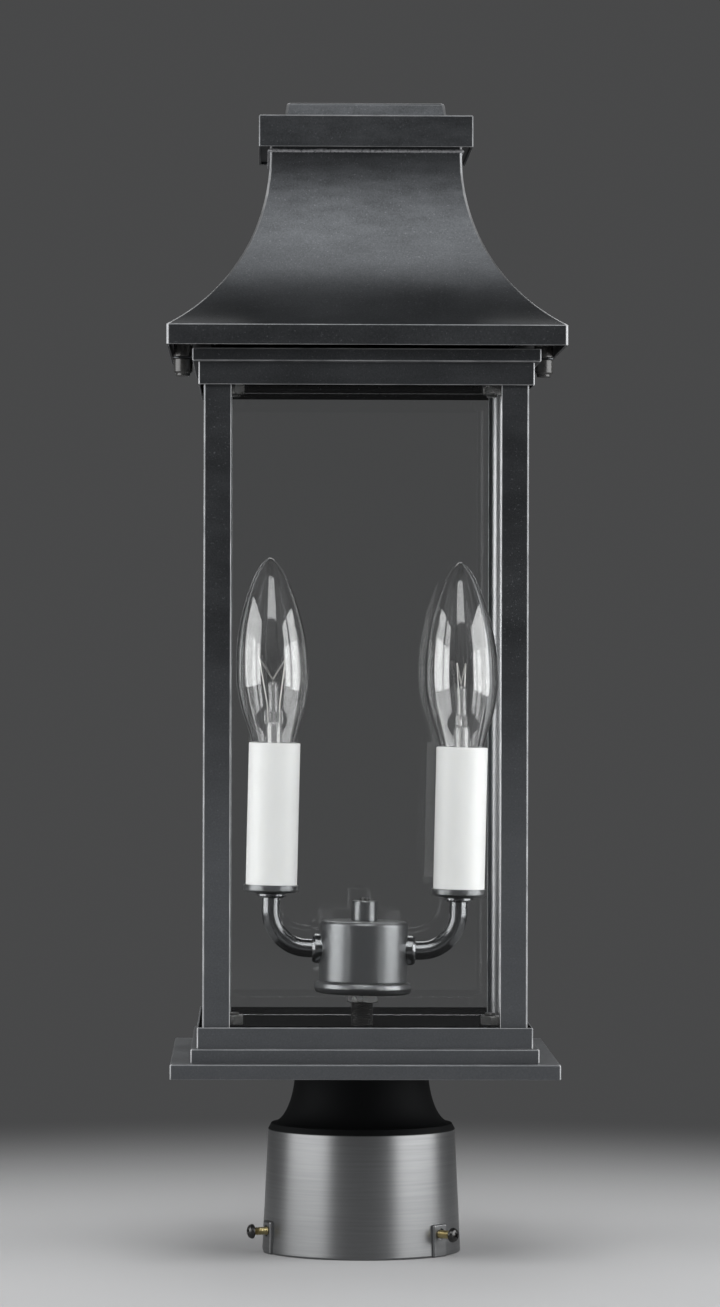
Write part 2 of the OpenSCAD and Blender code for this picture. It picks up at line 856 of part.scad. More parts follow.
module socket_shells() {
    color("#c39b4a") both_candles() difference() {
        hole(shell_d + 2 * shell_wall, socket_web_z + socket_web_h, socket_top - over);
        hole(shell_d, socket_web_z, socket_top + over);
    }
}

module socket_contacts() {
    color("#c39b4a") both_candles()
        hole(tip_d, socket_web_z + socket_web_h, socket_web_z + socket_web_h + contact_t);
}

// Screw base of a bulb: shell with a skirt, insulator and solder tip
module bulb_base(side) {
    color("#c39b4a") one_candle(side) {
        difference() {
            union() {
                hole(bulb_base_d, bulb_base_z, bulb_skirt_z);
                hole(bulb_skirt_d, bulb_skirt_z, bulb_skirt_z + bulb_skirt_h);
            }
            hole(2 * bulb_neck_r + 2 * fit_gap, bulb_base_z + contact_t,
                 bulb_skirt_z + bulb_skirt_h + over);
        }
        translate([0, 0, bulb_base_z - insulator_h])
            cylinder(d1 = insulator_d, d2 = bulb_base_d, h = insulator_h);
        hole(tip_d, tip_z, bulb_base_z - insulator_h);
    }
}

// Smooth curve through the outline's points, evaluated between point i and the next
function outline_point(points, i) = points[max(0, min(len(points) - 1, i))];
function smooth_point(points, i, t) =
    let (
        a = outline_point(points, i - 1), b = outline_point(points, i),
        c = outline_point(points, i + 1), d = outline_point(points, i + 2)
    )
    (2 * b + (c - a) * t + (2 * a - 5 * b + 4 * c - d) * t * t
        + (3 * b - a - 3 * c + d) * t * t * t) / 2;
bulb_curve_shares = [
    for (i = [0 : len(bulb_outline_shares) - 2], s = [0 : bulb_fill_steps - 1])
        smooth_point(bulb_outline_shares, i, s / bulb_fill_steps)
];

// Outside of the envelope, or its inside when drawn in by t
function bulb_profile(t) = concat(
    [for (p = bulb_curve_shares)
        [p[1] * bulb_d / 2 - t, sleeve_top + p[0] * (bulb_h - t)]],
    [[bulb_tip_share * bulb_d / 2, sleeve_top + bulb_h - t], [0, sleeve_top + bulb_h - t]]
);

module bulb_solid(t, bottom) {
    rotate_extrude() polygon(concat(
        [[0, bottom], [bulb_neck_r - t, bottom],
         [bulb_neck_r - t, bulb_skirt_z + bulb_skirt_h]],
        bulb_profile(t)
    ));
}

module bulb_glass(side) {
    foot = bulb_base_z + contact_t + free_gap;
    color("#dfe6ea", 0.35) one_candle(side) difference() {
        bulb_solid(0, foot);
        bulb_solid(bulb_wall, foot - over);
    }
}

// Glass stem, two supports and the filament, turned about the bulb's axis
module bulb_mount(side) {
    foot = bulb_base_z + contact_t + free_gap;
    lean = atan(filament_reach / (filament_h - stem_h));
    run = sqrt(filament_reach * filament_reach + (filament_h - stem_h) * (filament_h - stem_h));
    color("#cfd6da") one_candle(side) rotate([0, 0, side > 0 ? 90 : 0]) {
        hole(stem_foot_d, foot, sleeve_top);
        translate([0, 0, sleeve_top])
            cylinder(d1 = stem_foot_d, d2 = stem_waist_d, h = stem_flare_h);
        translate([0, 0, sleeve_top + stem_flare_h])
            cylinder(d1 = stem_waist_d, d2 = stem_top_d, h = stem_h - stem_flare_h);
        for (turn = [0, 180]) rotate([0, 0, turn])
            translate([0, 0, sleeve_top + stem_h - support_d]) rotate([0, lean, 0])
                cylinder(d = support_d, h = run);
        for (turn = [0, 180]) rotate([0, 0, turn])
            translate([0, 0, sleeve_top + stem_h]) rotate([0, lean / 2, 0])
                cylinder(d = filament_d, h = run - filament_reach / 2);
    }
}

// Route of a lead from the connector in the hub to the socket, on one side of the arm
function lead_route(way) =
    let (
        y = way * wire_side_gap,
        bend_x = candle_x - arm_bend_r,
        rise = arm_z + arm_bend_r
    )
    concat(
        [[0, way * connector_y, connector_z + connector_h],
         [0, way * connector_y, connector_z + connector_h + wire_d],
         [connector_d / 2, way * (connector_y - wire_d / 2), connector_z + connector_h + wire_d],
         [nipple_d, way * connector_y / 2, arm_z],
         [arm_inner_x, y, arm_z]],
        [for (i = [0 : 4]) let (angle = 90 * i / 4)
            [bend_x + arm_bend_r * sin(angle), y, rise - arm_bend_r * cos(angle)]],
        [[candle_x, y, sleeve_z + arm_thread_len], [candle_x, y, socket_web_z]]
    );

function lead_frame(points, i) =
    let (
        last = len(points) - 1,
        along = points[min(last, i + 1)] - points[max(0, i - 1)],
        w = along / norm(along),
        u0 = cross(w, [0, 1, 0]),
        u = u0 / norm(u0)
    )
    [u, cross(w, u)];

// Tube of a few flat sides swept along a route
module lead(points) {
    n = len(points);
    rings = [for (i = [0 : n - 1], s = [0 : wire_sides - 1])
        let (f = lead_frame(points, i), angle = 360 * s / wire_sides)
            points[i] + wire_d / 2 * (f[0] * cos(angle) + f[1] * sin(angle))];
    sides = [for (i = [0 : n - 2], s = [0 : wire_sides - 1])
        let (a = i * wire_sides + s, b = i * wire_sides + (s + 1) % wire_sides)
            [b, a, a + wire_sides, b + wire_sides]];
    caps = [
        [for (s = [0 : wire_sides - 1]) s],
        [for (s = [wire_sides - 1 : -1 : 0]) (n - 1) * wire_sides + s]
    ];
    polyhedron(points = rings, faces = concat(sides, caps));
}

module lead_wires() {
    color("#d8d8d8") both_arms() for (way = [-1, 1]) lead(lead_route(way));
}

module wire_connectors() {
    color("#b8763a") leaning() for (way = [-1, 1])
        translate([0, way * connector_y, connector_z])
            cylinder(d1 = connector_tip_d, d2 = connector_d, h = connector_h - free_gap);
}

post_fitter();
set_screw(screw_azimuths[0]);  // set_screw_front_left
set_screw(screw_azimuths[1]);  // set_screw_front_right
set_screw(screw_azimuths[2]);  // set_screw_rear
base_plate();
base_step();
base_tray();
top_tray();
upper_frame();
tray_bolts();
tray_bolt_nuts();
tie_rods();
tie_rod_nuts();
corner_post(-1, -1);  // post_front_left
corner_post(1, -1);  // post_front_right
corner_post(-1, 1);  // post_rear_left
corner_post(1, 1);  // post_rear_right
wide_pane(-1);  // glass_front
wide_pane(1);  // glass_rear
side_pane(-1);  // glass_left
side_pane(1);  // glass_right
roof_shell();
roof_ring();
roof_studs();
neck_bead();
cap_floor();
chimney_cap();
cap_block();
thumb_nut(-1);  // thumb_nut_left
thumb_nut(1);  // thumb_nut_right
stem_nipple();
nipple_nuts();
hub_cover();
hub_body();
hub_finial();
finial_screw();
arm(-1);  // arm_left
arm(1);  // arm_right
arm_collars();
arm_inner_nuts();
arm_lock_rings();
cup(-1);  // cup_left
cup(1);  // cup_right
candle_sleeve(-1);  // candle_sleeve_left
candle_sleeve(1);  // candle_sleeve_right
socket_feet();
socket_bodies();
socket_shells();
socket_contacts();
bulb_base(-1);  // bulb_base_left
bulb_glass(-1);  // bulb_glass_left
bulb_mount(-1);  // bulb_mount_left
bulb_base(1);  // bulb_base_right
bulb_glass(1);  // bulb_glass_right
bulb_mount(1);  // bulb_mount_right
lead_wires();
wire_connectors();
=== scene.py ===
import json
import math

import bmesh
import bpy
from bpy.props import FloatProperty, FloatVectorProperty, IntProperty, PointerProperty
from mathutils import Matrix, Vector, noise

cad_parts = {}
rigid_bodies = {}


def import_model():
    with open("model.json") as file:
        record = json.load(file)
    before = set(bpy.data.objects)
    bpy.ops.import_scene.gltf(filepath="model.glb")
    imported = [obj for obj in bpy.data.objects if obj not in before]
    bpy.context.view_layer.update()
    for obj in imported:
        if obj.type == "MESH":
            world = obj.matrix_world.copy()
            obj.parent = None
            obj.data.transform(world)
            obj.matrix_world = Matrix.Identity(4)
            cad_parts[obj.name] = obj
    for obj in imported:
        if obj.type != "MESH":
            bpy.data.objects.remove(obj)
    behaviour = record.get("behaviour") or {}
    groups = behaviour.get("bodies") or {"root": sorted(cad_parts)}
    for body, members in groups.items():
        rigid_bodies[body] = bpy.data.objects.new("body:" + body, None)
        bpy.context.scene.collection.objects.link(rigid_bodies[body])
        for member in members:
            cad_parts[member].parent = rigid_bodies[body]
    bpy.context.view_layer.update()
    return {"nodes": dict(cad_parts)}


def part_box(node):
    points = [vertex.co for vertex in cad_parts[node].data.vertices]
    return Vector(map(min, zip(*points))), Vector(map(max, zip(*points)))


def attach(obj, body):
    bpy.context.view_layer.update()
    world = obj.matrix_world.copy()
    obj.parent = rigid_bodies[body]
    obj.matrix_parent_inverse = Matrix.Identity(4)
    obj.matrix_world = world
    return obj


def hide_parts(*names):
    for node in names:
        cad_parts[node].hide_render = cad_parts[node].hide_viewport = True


bl_info = {
    "name": "Post Top Lantern",
    "version": (1, 0, 0),
    "blender": (4, 5, 0),
    "location": "View3D > Sidebar > Lantern",
    "description": "Builds the finished pieces of a post top lantern round its frame",
    "category": "Object",
}

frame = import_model()
MM = 0.001
QUARTER = math.pi / 2


# Sizes and colours -------------------------------------------------------------------------

def length(name, about, value_mm):
    """A length setting, given in millimetres and kept in metres."""
    return FloatProperty(name=name, description=about, default=value_mm * MM, min=0,
                         precision=4, unit="LENGTH", subtype="DISTANCE")


def degrees(name, about, value):
    """An angle setting, given in degrees."""
    return FloatProperty(name=name, description=about, default=math.radians(value),
                         subtype="ANGLE", unit="ROTATION")


def tone(name, about, *rgb):
    return FloatVectorProperty(name=name, description=about, default=rgb, size=3, min=0, max=1,
                               subtype="COLOR")


class LanternSheetSizes(bpy.types.PropertyGroup):
    flare_height: length("Flare height", "Height of the roof's concave part", 73.6)
    fascia_height: length("Fascia height", "Height of the roof's straight lower edge", 8.4)
    neck_half: length("Neck half width", "Half the width of the roof's neck", 40.6)
    sheet: length("Sheet", "Thickness of the folded sheet", 1)
    hip_radius: length("Hip radius", "Rounding of the welded hips", 1.15)
    fold_radius: length("Fold radius", "Rounding of a folded edge", 0.65)
    lip_radius: length("Lip radius", "Rounding of a cut edge", 0.3)
    post_radius: length("Post radius", "Rounding of a corner post's fold", 0.9)
    bead_radius: length("Bead radius", "Half the width of the weld bead at the neck", 0.8)
    flare_steps: IntProperty(name="Flare steps", description="Facets along the flare",
                             default=44, min=8, max=96)
    corner_steps: IntProperty(name="Corner steps", description="Facets round a rounded corner",
                              default=5, min=2, max=12)


class LanternLampSizes(bpy.types.PropertyGroup):
    lean: degrees("Lean", "Lean of the lamps to the right", 1.2)
    floor_z: length("Floor height", "Height of the floor that the lamps stand on", 96.9)
    arm_z: length("Arm height", "Height of the arms' roots", 129.2)
    arm_bend: length("Arm bend", "Bend radius of the arms", 16)
    arm_radius: length("Arm radius", "Half the diameter of the arms", 4)
    candle_x: length("Candle distance", "Distance of a candle from the middle", 40.2)
    sleeve_z: length("Sleeve foot", "Height of the candle sleeves' lower end", 154.1)
    sleeve_top: length("Sleeve top", "Height of the candle sleeves' upper end", 216.8)
    bulb_radius: length("Bulb radius", "Half a bulb's greatest diameter", 15.6)
    bulb_height: length("Bulb height", "Height of a bulb above its sleeve", 79.4)
    bulb_wall: length("Bulb wall", "Thickness of a bulb's glass", 0.6)
    left_tilt: degrees("Left tilt", "Tilt of the left bulb's glass", -2.6)
    right_tilt: degrees("Right tilt", "Tilt of the right bulb's glass", -1.7)
    filament_radius: length("Filament radius", "Half the width of the filament's coil", 0.34)


class LanternFinish(bpy.types.PropertyGroup):
    powder: tone("Powder coat", "Colour of the sheet metal", 0.0105, 0.011, 0.0118)
    casting: tone("Casting", "Colour of the painted fitter", 0.0095, 0.0098, 0.0105)
    lamp: tone("Lamp parts", "Colour of the hub, arms and cups", 0.011, 0.0113, 0.012)
    hardware: tone("Hardware", "Colour of the blackened fasteners", 0.011, 0.0108, 0.0105)
    thumb: tone("Thumb nuts", "Colour of the thumb nuts and studs", 0.0352, 0.03456, 0.0336)
    sleeve: tone("Sleeves", "Colour of the candle sleeves", 0.8, 0.8, 0.795)
    yellow_zinc: tone("Yellow zinc", "Colour of the set screws' plating", 0.66, 0.53, 0.25)
    steel: tone("Steel", "Colour of the plain zinc plated pieces", 0.56, 0.57, 0.58)
    brass: tone("Brass", "Colour of the bulb bases and contacts", 0.78, 0.58, 0.27)
    pane: tone("Pane", "Tint of the flat glass", 0.947, 0.953, 0.952)
    bulb: tone("Bulb", "Tint of the bulbs' glass", 0.99, 0.99, 0.99)


class LanternStage(bpy.types.PropertyGroup):
    distance: length("Camera distance", "From the camera to the lantern's axis", 2376)
    side_step: length("Side step", "How far the camera stands to the left of the axis", 46)
    eye_height: length("Eye height", "Height of the camera", 255)
    lens: FloatProperty(name="Lens", description="Focal length in millimetres", default=152.5)
    roll: degrees("Roll", "Roll of the camera", 0.15)
    backdrop: tone("Backdrop", "Colour of the backdrop", 0.0655, 0.066, 0.067)
    floor: tone("Floor", "Colour of the floor", 0.54, 0.543, 0.55)
    ambient: FloatProperty(name="Ambient", description="Strength of the soft light all round",
                           default=0.13, min=0)


def lean_matrix():
    """Turns a point of the upright lamp group to where it stands with its lean."""
    lamp = bpy.context.scene.lantern_lamp
    at_floor = Matrix.Translation((0, 0, lamp.floor_z))
    return at_floor @ Matrix.Rotation(lamp.lean, 4, "Y") @ at_floor.inverted()


# Nodes -------------------------------------------------------------------------------------

class Value:
    """A number made by nodes, so that trees and materials read as arithmetic."""

    def __init__(self, graph, socket):
        self.graph, self.socket = graph, socket

    def __add__(self, other):
        return self.graph.math("ADD", self, other)

    def __sub__(self, other):
        return self.graph.math("SUBTRACT", self, other)

    def __rsub__(self, other):
        return self.graph.math("SUBTRACT", other, self)

    def __mul__(self, other):
        return self.graph.math("MULTIPLY", self, other)

    def __truediv__(self, other):
        return self.graph.math("DIVIDE", self, other)

    def __mod__(self, other):
        return self.graph.math("MODULO", self, other)


class Graph:
    """A node tree under construction."""

    def __init__(self, tree):
        self.nodes, self.links = tree.nodes, tree.links

    def set(self, socket, value):
        if isinstance(value, Value):
            value = value.socket
        if isinstance(value, bpy.types.NodeSocket):
            self.links.new(value, socket)
        else:
            socket.default_value = value

    def add(self, kind, inputs=None, **settings):
        """Outputs of a new node with its inputs linked or set."""
        made = self.nodes.new(kind)
        for key, value in settings.items():
            setattr(made, key, value)
        for key, value in (inputs or {}).items():
            self.set(made.inputs[key], value)
        return made.outputs

    def value(self, kind, inputs=None, **settings):
        """First output of a new node, as a number."""
        return Value(self, self.add(kind, inputs, **settings)[0])

    def math(self, operation, *terms, **settings):
        return self.value("ShaderNodeMath", dict(enumerate(terms)), operation=operation,
                          **settings)

    def vector_math(self, operation, *terms, **named):
        return self.add("ShaderNodeVectorMath", {**dict(enumerate(terms)), **named},
                        operation=operation)

    def split(self, vector):
        return [Value(self, part)
                for part in self.add("ShaderNodeSeparateXYZ", {0: vector})]

    def seen_rays(self):
        """1 for the rays that see the stage: from the camera, through glass or in a gloss."""
        path = self.add("ShaderNodeLightPath")
        seen = self.math("MAXIMUM", path["Is Camera Ray"], path["Is Transmission Ray"])
        return self.math("MAXIMUM", seen, path["Is Glossy Ray"]), path


class Tree(Graph):
    """A Geometry Nodes tree under construction, with named inputs and one mesh output."""

    KINDS = {float: "NodeSocketFloat", int: "NodeSocketInt"}

    def __init__(self, name, **inputs):
        self.group = bpy.data.node_groups.new(name, "GeometryNodeTree")
        super().__init__(self.group)
        self.ids = {}
        self.socket("Geometry", "NodeSocketGeometry")
        for label, value in inputs.items():
            kind = value if isinstance(value, str) else self.KINDS[type(value)]
            made = self.socket(label.replace("_", " ").capitalize(), kind)
            if not isinstance(value, str):
                made.default_value = value
            self.ids[label] = made.identifier
        self.ids["material"] = self.socket("Material", "NodeSocketMaterial").identifier
        self.socket("Geometry", "NodeSocketGeometry", "OUTPUT")
        self.given = self.nodes.new("NodeGroupInput").outputs
        self.mesh = self.given["Geometry"]

    def socket(self, name, kind, way="INPUT"):
        return self.group.interface.new_socket(name, in_out=way, socket_type=kind)

    def __getitem__(self, label):
        """The group's input with that name."""
        return Value(self, self.given[label.replace("_", " ").capitalize()])

    def vector(self, x=0.0, y=0.0, z=0.0):
        return self.add("ShaderNodeCombineXYZ", {0: x, 1: y, 2: z})[0]

    def curve(self):
        """The mesh handed in, as a curve."""
        return self.add("GeometryNodeMeshToCurve", {"Mesh": self.mesh})[0]

    def shift(self, geometry, **moves):
        return self.add("GeometryNodeSetPosition", {"Geometry": geometry, **moves})[0]

    def sweep(self, curve, radius, sides, **more):
        """Round tube along a curve."""
        ring = self.add("GeometryNodeCurvePrimitiveCircle",
                        {"Resolution": sides, "Radius": radius})[0]
        return self.finish(self.add(
            "GeometryNodeCurveToMesh", {"Curve": curve, "Profile Curve": ring, **more})[0])

    def finish(self, geometry):
        smooth = self.add("GeometryNodeSetShadeSmooth", {"Geometry": geometry})[0]
        plain = self.add("GeometryNodeRealizeInstances", {"Geometry": smooth})[0]
        done = self.add("GeometryNodeSetMaterial",
                        {"Geometry": plain, "Material": self["material"]})[0]
        self.links.new(done, self.nodes.new("NodeGroupOutput").inputs[0])
        return self


# Geometry Nodes trees ----------------------------------------------------------------------

def square_sheet_tree():
    """Folds a profile of (half width, height) points round a square with rounded corners."""
    tree = Tree("Square sheet", corner_steps=5)
    count = tree.value("GeometryNodeAttributeDomainSize", {"Geometry": tree.mesh})
    steps = tree["corner_steps"]
    per_corner = steps + 1.0
    grid = tree.add("GeometryNodeMeshGrid", {
        "Size X": 1.0, "Size Y": 1.0, "Vertices X": per_corner * 4.0 + 1.0,
        "Vertices Y": count})[0]
    index = tree.value("GeometryNodeInputIndex")
    row = index % count
    column = tree.math("FLOOR", (index + 0.5) / count)
    corner = tree.math("FLOOR", (column + 0.5) / per_corner)
    step = column - corner * per_corner
    turn = (corner + step / steps) * QUARTER
    middle = (corner + 0.5) * QUARTER

    def at_row(value, kind):
        return tree.value("GeometryNodeSampleIndex", {
            "Geometry": tree.mesh, "Value": value, "Index": row}, data_type=kind)

    def sampled(label):
        return at_row(tree.add("GeometryNodeInputNamedAttribute", {"Name": label},
                               data_type="FLOAT")[0], "FLOAT")

    place_at = at_row(tree.add("GeometryNodeInputPosition")[0], "FLOAT_VECTOR")
    radius = sampled("corner")
    # The middle of each rounded corner takes its point's share of wear and painted highlight,
    # stored for the material.
    from_end = tree.math("PINGPONG", step, steps * 0.5)
    corner_rub_and_sheen = tree.math("GREATER_THAN", from_end, 0.5) * sampled("wear")
    half, _, height = tree.split(place_at)

    def across(operation):
        side = tree.math("SIGN", tree.math(operation, middle))
        return side * (half - radius) + tree.math(operation, turn) * radius

    folded = tree.shift(grid, Position=tree.vector(across("COSINE"), across("SINE"), height))
    rubbed_and_sheened = tree.add("GeometryNodeStoreNamedAttribute", {
        "Geometry": folded, "Name": "rub",
        "Value": tree.math("MAXIMUM", sampled("rub"), corner_rub_and_sheen)},
        data_type="FLOAT", domain="POINT")[0]
    return tree.finish(tree.add("GeometryNodeMergeByDistance", {
        "Geometry": rubbed_and_sheened, "Distance": 0.002 * MM})[0])


def tube_tree():
    """Sweeps a round tube along a polyline whose corners are rounded."""
    tree = Tree("Bent tube", radius=0.001, bend=0.001, sides=24)
    bent = tree.add("GeometryNodeFilletCurve", {
        "Curve": tree.curve(), "Radius": tree["bend"], "Count": 20}, mode="POLY")[0]
    return tree.sweep(bent, tree["radius"], tree["sides"], **{"Fill Caps": True})


def thread_tree():
    """Cuts a thread into the part of a turned shank that has the given radius."""
    tree = Tree("Thread", radius=0.001, pitch=0.001, depth=0.0001, low=0.0, high=0.01)
    x, y, z = tree.split(tree.add("GeometryNodeInputPosition")[0])
    out = tree.math("SQRT", x * x + y * y)
    near = tree.math("LESS_THAN", tree.math("ABSOLUTE", out - tree["radius"]), 0.02 * MM)
    turn = tree.math("ARCTAN2", y, x) / (2 * math.pi)
    phase = tree.math("FRACT", z / tree["pitch"] - turn)
    wave = tree.math("PINGPONG", phase, 0.5) * 2.0
    run_out = tree["pitch"] * 0.6

    def ramp(distance):
        return tree.value("ShaderNodeClamp", {"Value": distance / run_out})

    inside = ramp(z - tree["low"]) * ramp(tree["high"] - z)
    share = wave * tree["depth"] * (inside * near) * -1.0 / out
    return tree.finish(tree.shift(tree.mesh, Offset=tree.vector(x * share, y * share)))


def repeat_tree():
    """Puts a copy of one object on every point."""
    tree = Tree("Repeat", piece="NodeSocketObject")
    points = tree.add("GeometryNodeMeshToPoints", {"Mesh": tree.mesh})[0]
    piece = tree.add("GeometryNodeObjectInfo", {"Object": tree["piece"]})["Geometry"]
    return tree.finish(tree.add("GeometryNodeInstanceOnPoints", {
        "Points": points, "Instance": piece})[0])


def bead_tree():
    """Lays a rippled weld bead along a closed line."""
    tree = Tree("Weld bead", radius=0.0006, ripple=0.0012, wander=0.0002)
    fine = tree.add("GeometryNodeResampleCurve", {"Curve": tree.curve(), "Count": 1000})[0]
    along = Value(tree, tree.add("GeometryNodeSplineParameter")["Length"])
    slow = tree.value("ShaderNodeTexNoise", {
        "Vector": tree.add("GeometryNodeInputPosition")[0], "Scale": 170.0, "Detail": 2.0})
    drift = (slow - 0.5) * tree["wander"]
    moved = tree.shift(fine, Offset=tree.vector(0.0, 0.0, drift))
    beat = tree.math("SINE", along / tree["ripple"] * (2 * math.pi))
    swell = beat * 0.07 + (slow * 0.5 + 0.7)
    return tree.sweep(moved, tree["radius"], 8, Scale=swell)


def coil_tree():
    """Winds a fine wire round a polyline."""
    tree = Tree("Coil", coil_radius=0.0003, wire_radius=0.00007, pitch=0.0004)
    path = tree.curve()
    turns = tree.value("GeometryNodeCurveLength", {"Curve": path}) / tree["pitch"]
    fine = tree.add("GeometryNodeResampleCurve", {"Curve": path, "Count": turns * 10.0})[0]
    along = Value(tree, tree.add("GeometryNodeSplineParameter")["Factor"])
    angle = along * turns * (2 * math.pi)
    normal = tree.add("GeometryNodeInputNormal")[0]
    tangent = tree.add("GeometryNodeInputTangent")[0]
    side = tree.vector_math("CROSS_PRODUCT", normal, tangent)[0]

    def part(vector, operation):
        amount = tree.math(operation, angle) * tree["coil_radius"]
        return tree.vector_math("SCALE", vector, Scale=amount)[0]

    offset = tree.vector_math("ADD", part(normal, "COSINE"), part(side, "SINE"))[0]
    return tree.sweep(tree.shift(fine, Offset=offset), tree["wire_radius"], 5,
                      **{"Fill Caps": True})


TREE_MAKERS = {"sheet": square_sheet_tree, "tube": tube_tree, "thread": thread_tree,
               "repeat": repeat_tree, "bead": bead_tree, "coil": coil_tree}
TREES = {}


def grow(mesh, kind, material, **values):
    """Mesh that a tree of that kind makes of another mesh, which is removed."""
    if kind not in TREES:
        TREES[kind] = TREE_MAKERS[kind]()
    tree = TREES[kind]
    source = bpy.data.objects.new("growing", mesh)
    bpy.context.scene.collection.objects.link(source)
    modifier = source.modifiers.new("grow", "NODES")
    modifier.node_group = tree.group
    for label, value in {**values, "material": finish(material)}.items():
        modifier[tree.ids[label]] = value
    graph = bpy.context.evaluated_depsgraph_get()
    made = bpy.data.meshes.new_from_object(source.evaluated_get(graph))
    bpy.data.objects.remove(source)
    bpy.data.meshes.remove(mesh)
    return made


# Mesh helpers ------------------------------------------------------------------------------

ALMOST_STRAIGHT = math.radians(89.5)  # half the angle at a corner too flat to be rounded
WORN_SHEEN_CORNER = math.radians(75)  # half the angle at the bluntest corner that gets wear and a painted highlight
POLE = 1e-7  # radius below which a turned profile point is a pole


def line_mesh(points, closed=False, **layers):
    """Mesh of points joined by edges, with a float attribute for each named layer."""
    mesh = bpy.data.meshes.new("line")
    last = len(points) if closed else len(points) - 1
    edges = [(i, (i + 1) % len(points)) for i in range(last)]
    mesh.from_pydata([tuple(p) for p in points], edges, [])
    for name, values in layers.items():
        mesh.attributes.new(name, "FLOAT", "POINT").data.foreach_set("value", values)
    return mesh


def rounded_path(points, steps=4, closed=True, marks=None):
    """2D points with corners rounded. Each point is (x, y, radius).

    A list given as marks gets, for each point made, how strongly it is worn and given a painted
    highlight.
    """
    made = []
    marks = [] if marks is None else marks
    count = len(points)
    for i, (x, y, radius) in enumerate(points):
        here = Vector((x, y))
        before = Vector(points[i - 1][:2]) - here
        after = Vector(points[(i + 1) % count][:2]) - here
        if (radius <= 0 or (not closed and i in (0, count - 1))
                or before.angle(after) / 2 > ALMOST_STRAIGHT):
            made.append(here)
            marks.append(0.0)
            continue
        half = before.angle(after) / 2
        cut = min(radius / math.tan(half), min(before.length, after.length) * 0.49)
        middle = (before.normalized() + after.normalized()).normalized()
        centre = here + middle * (cut * math.tan(half) / math.sin(half))
        start = here + before.normalized() * cut - centre
        end = here + after.normalized() * cut - centre
        sweep = start.angle_signed(end)
        for k in range(steps + 1):
            spoke = start.copy()
            spoke.rotate(Matrix.Rotation(-sweep * k / steps, 2))
            made.append(centre + spoke)
            marks.append(0.3 if 0 < k < steps and half < WORN_SHEEN_CORNER else 0.0)
    return made


def from_bmesh(form, matrix=None):
    bmesh.ops.recalc_face_normals(form, faces=form.faces)
    mesh = bpy.data.meshes.new("form")
    form.to_mesh(mesh)
    form.free()
    if matrix is not None:
        mesh.transform(matrix)
    return mesh


def skin(form, rings, matrix=None):
    """Mesh of the faces between rings of vertices, closed unless it ends in poles."""
    sides = max(len(ring) for ring in rings)
    pairs = list(zip(rings, rings[1:]))
    if len(rings[0]) > 1 and len(rings[-1]) > 1:
        pairs.append((rings[-1], rings[0]))
    for a, b in pairs:
        for i in range(sides):
            j = (i + 1) % sides
            corners = dict.fromkeys([a[i % len(a)], a[j % len(a)],
                                     b[j % len(b)], b[i % len(b)]])
            if len(corners) > 2:
                form.faces.new(list(corners))
    return from_bmesh(form, matrix)


def turned(profile, sides, matrix=None):
    """Mesh of a (radius, height) profile turned round Z. Points on the axis make a pole."""
    form = bmesh.new()
    rings = []
    for radius, z in profile:
        angles = [2 * math.pi * i / sides for i in range(1 if radius < POLE else sides)]
        rings.append([form.verts.new((radius * math.cos(a), radius * math.sin(a), z))
                      for a in angles])
    return skin(form, rings, matrix)


def lathe(points, sides, matrix=None, steps=4):
    """Turned mesh of (radius, height, rounding) points in millimetres.

    A profile that begins on the axis is left open there, any other is closed.
    """
    path = rounded_path(points, steps, points[0][0] > 0)
    return turned([p * MM for p in path], sides, matrix)


def rows(radius, low, high, step):
    """Profile points up a shank, close enough together to carry a thread."""
    count = max(2, math.ceil((high - low) / step))
    return [(radius, low + (high - low) * i / count) for i in range(count + 1)]


def threaded(profile, sides, material, **sizes):
    """Turned (radius, height) profile with a thread cut into it. Sizes in millimetres."""
    return grow(turned([Vector(p) * MM for p in profile], sides), "thread", material,
                **{label: size * MM for label, size in sizes.items()})


def joined(*meshes):
    """One mesh of several, and the several are removed."""
    form = bmesh.new()
    for mesh in meshes:
        form.from_mesh(mesh)
        bpy.data.meshes.remove(mesh)
    made = bpy.data.meshes.new("joined")
    form.to_mesh(made)
    form.free()
    return made


def soften(form, edges, offset, segments):
    bmesh.ops.bevel(form, geom=edges, offset=offset, segments=segments, profile=0.5,
                    affect="EDGES", clamp_overlap=True)


def box_mesh(low, high, bevel, steps, matrix=None):
    """Block between two corners with its edges rounded."""
    form = bmesh.new()
    size = Vector(high) - Vector(low)
    bmesh.ops.create_cube(form, size=1, matrix=Matrix.Translation(
        (Vector(high) + Vector(low)) / 2) @ Matrix.Diagonal((*size, 1)))
    soften(form, form.edges[:], bevel, steps)
    return from_bmesh(form, matrix)


def prism(outline, z0, z1, edge=0, rubs_and_sheens=()):
    """Outline in XY stood up between two heights, with its end edges softened."""
    form = bmesh.new()
    layer = form.verts.layers.float.new("rub")
    corners = [form.verts.new((*p, z0)) for p in outline]
    for corner, rub in zip(corners, rubs_and_sheens):
        corner[layer] = rub
    base = form.faces.new(corners)
    top = bmesh.ops.extrude_face_region(form, geom=[base])["geom"]
    bmesh.ops.translate(form, vec=(0, 0, z1 - z0),
                        verts=[g for g in top if isinstance(g, bmesh.types.BMVert)])
    if edge:
        rims = [e for e in form.edges
                if abs(e.verts[0].co.z - e.verts[1].co.z) < 1e-9 and len(e.link_faces) == 2]
        soften(form, rims, edge, 2)
    return from_bmesh(form)


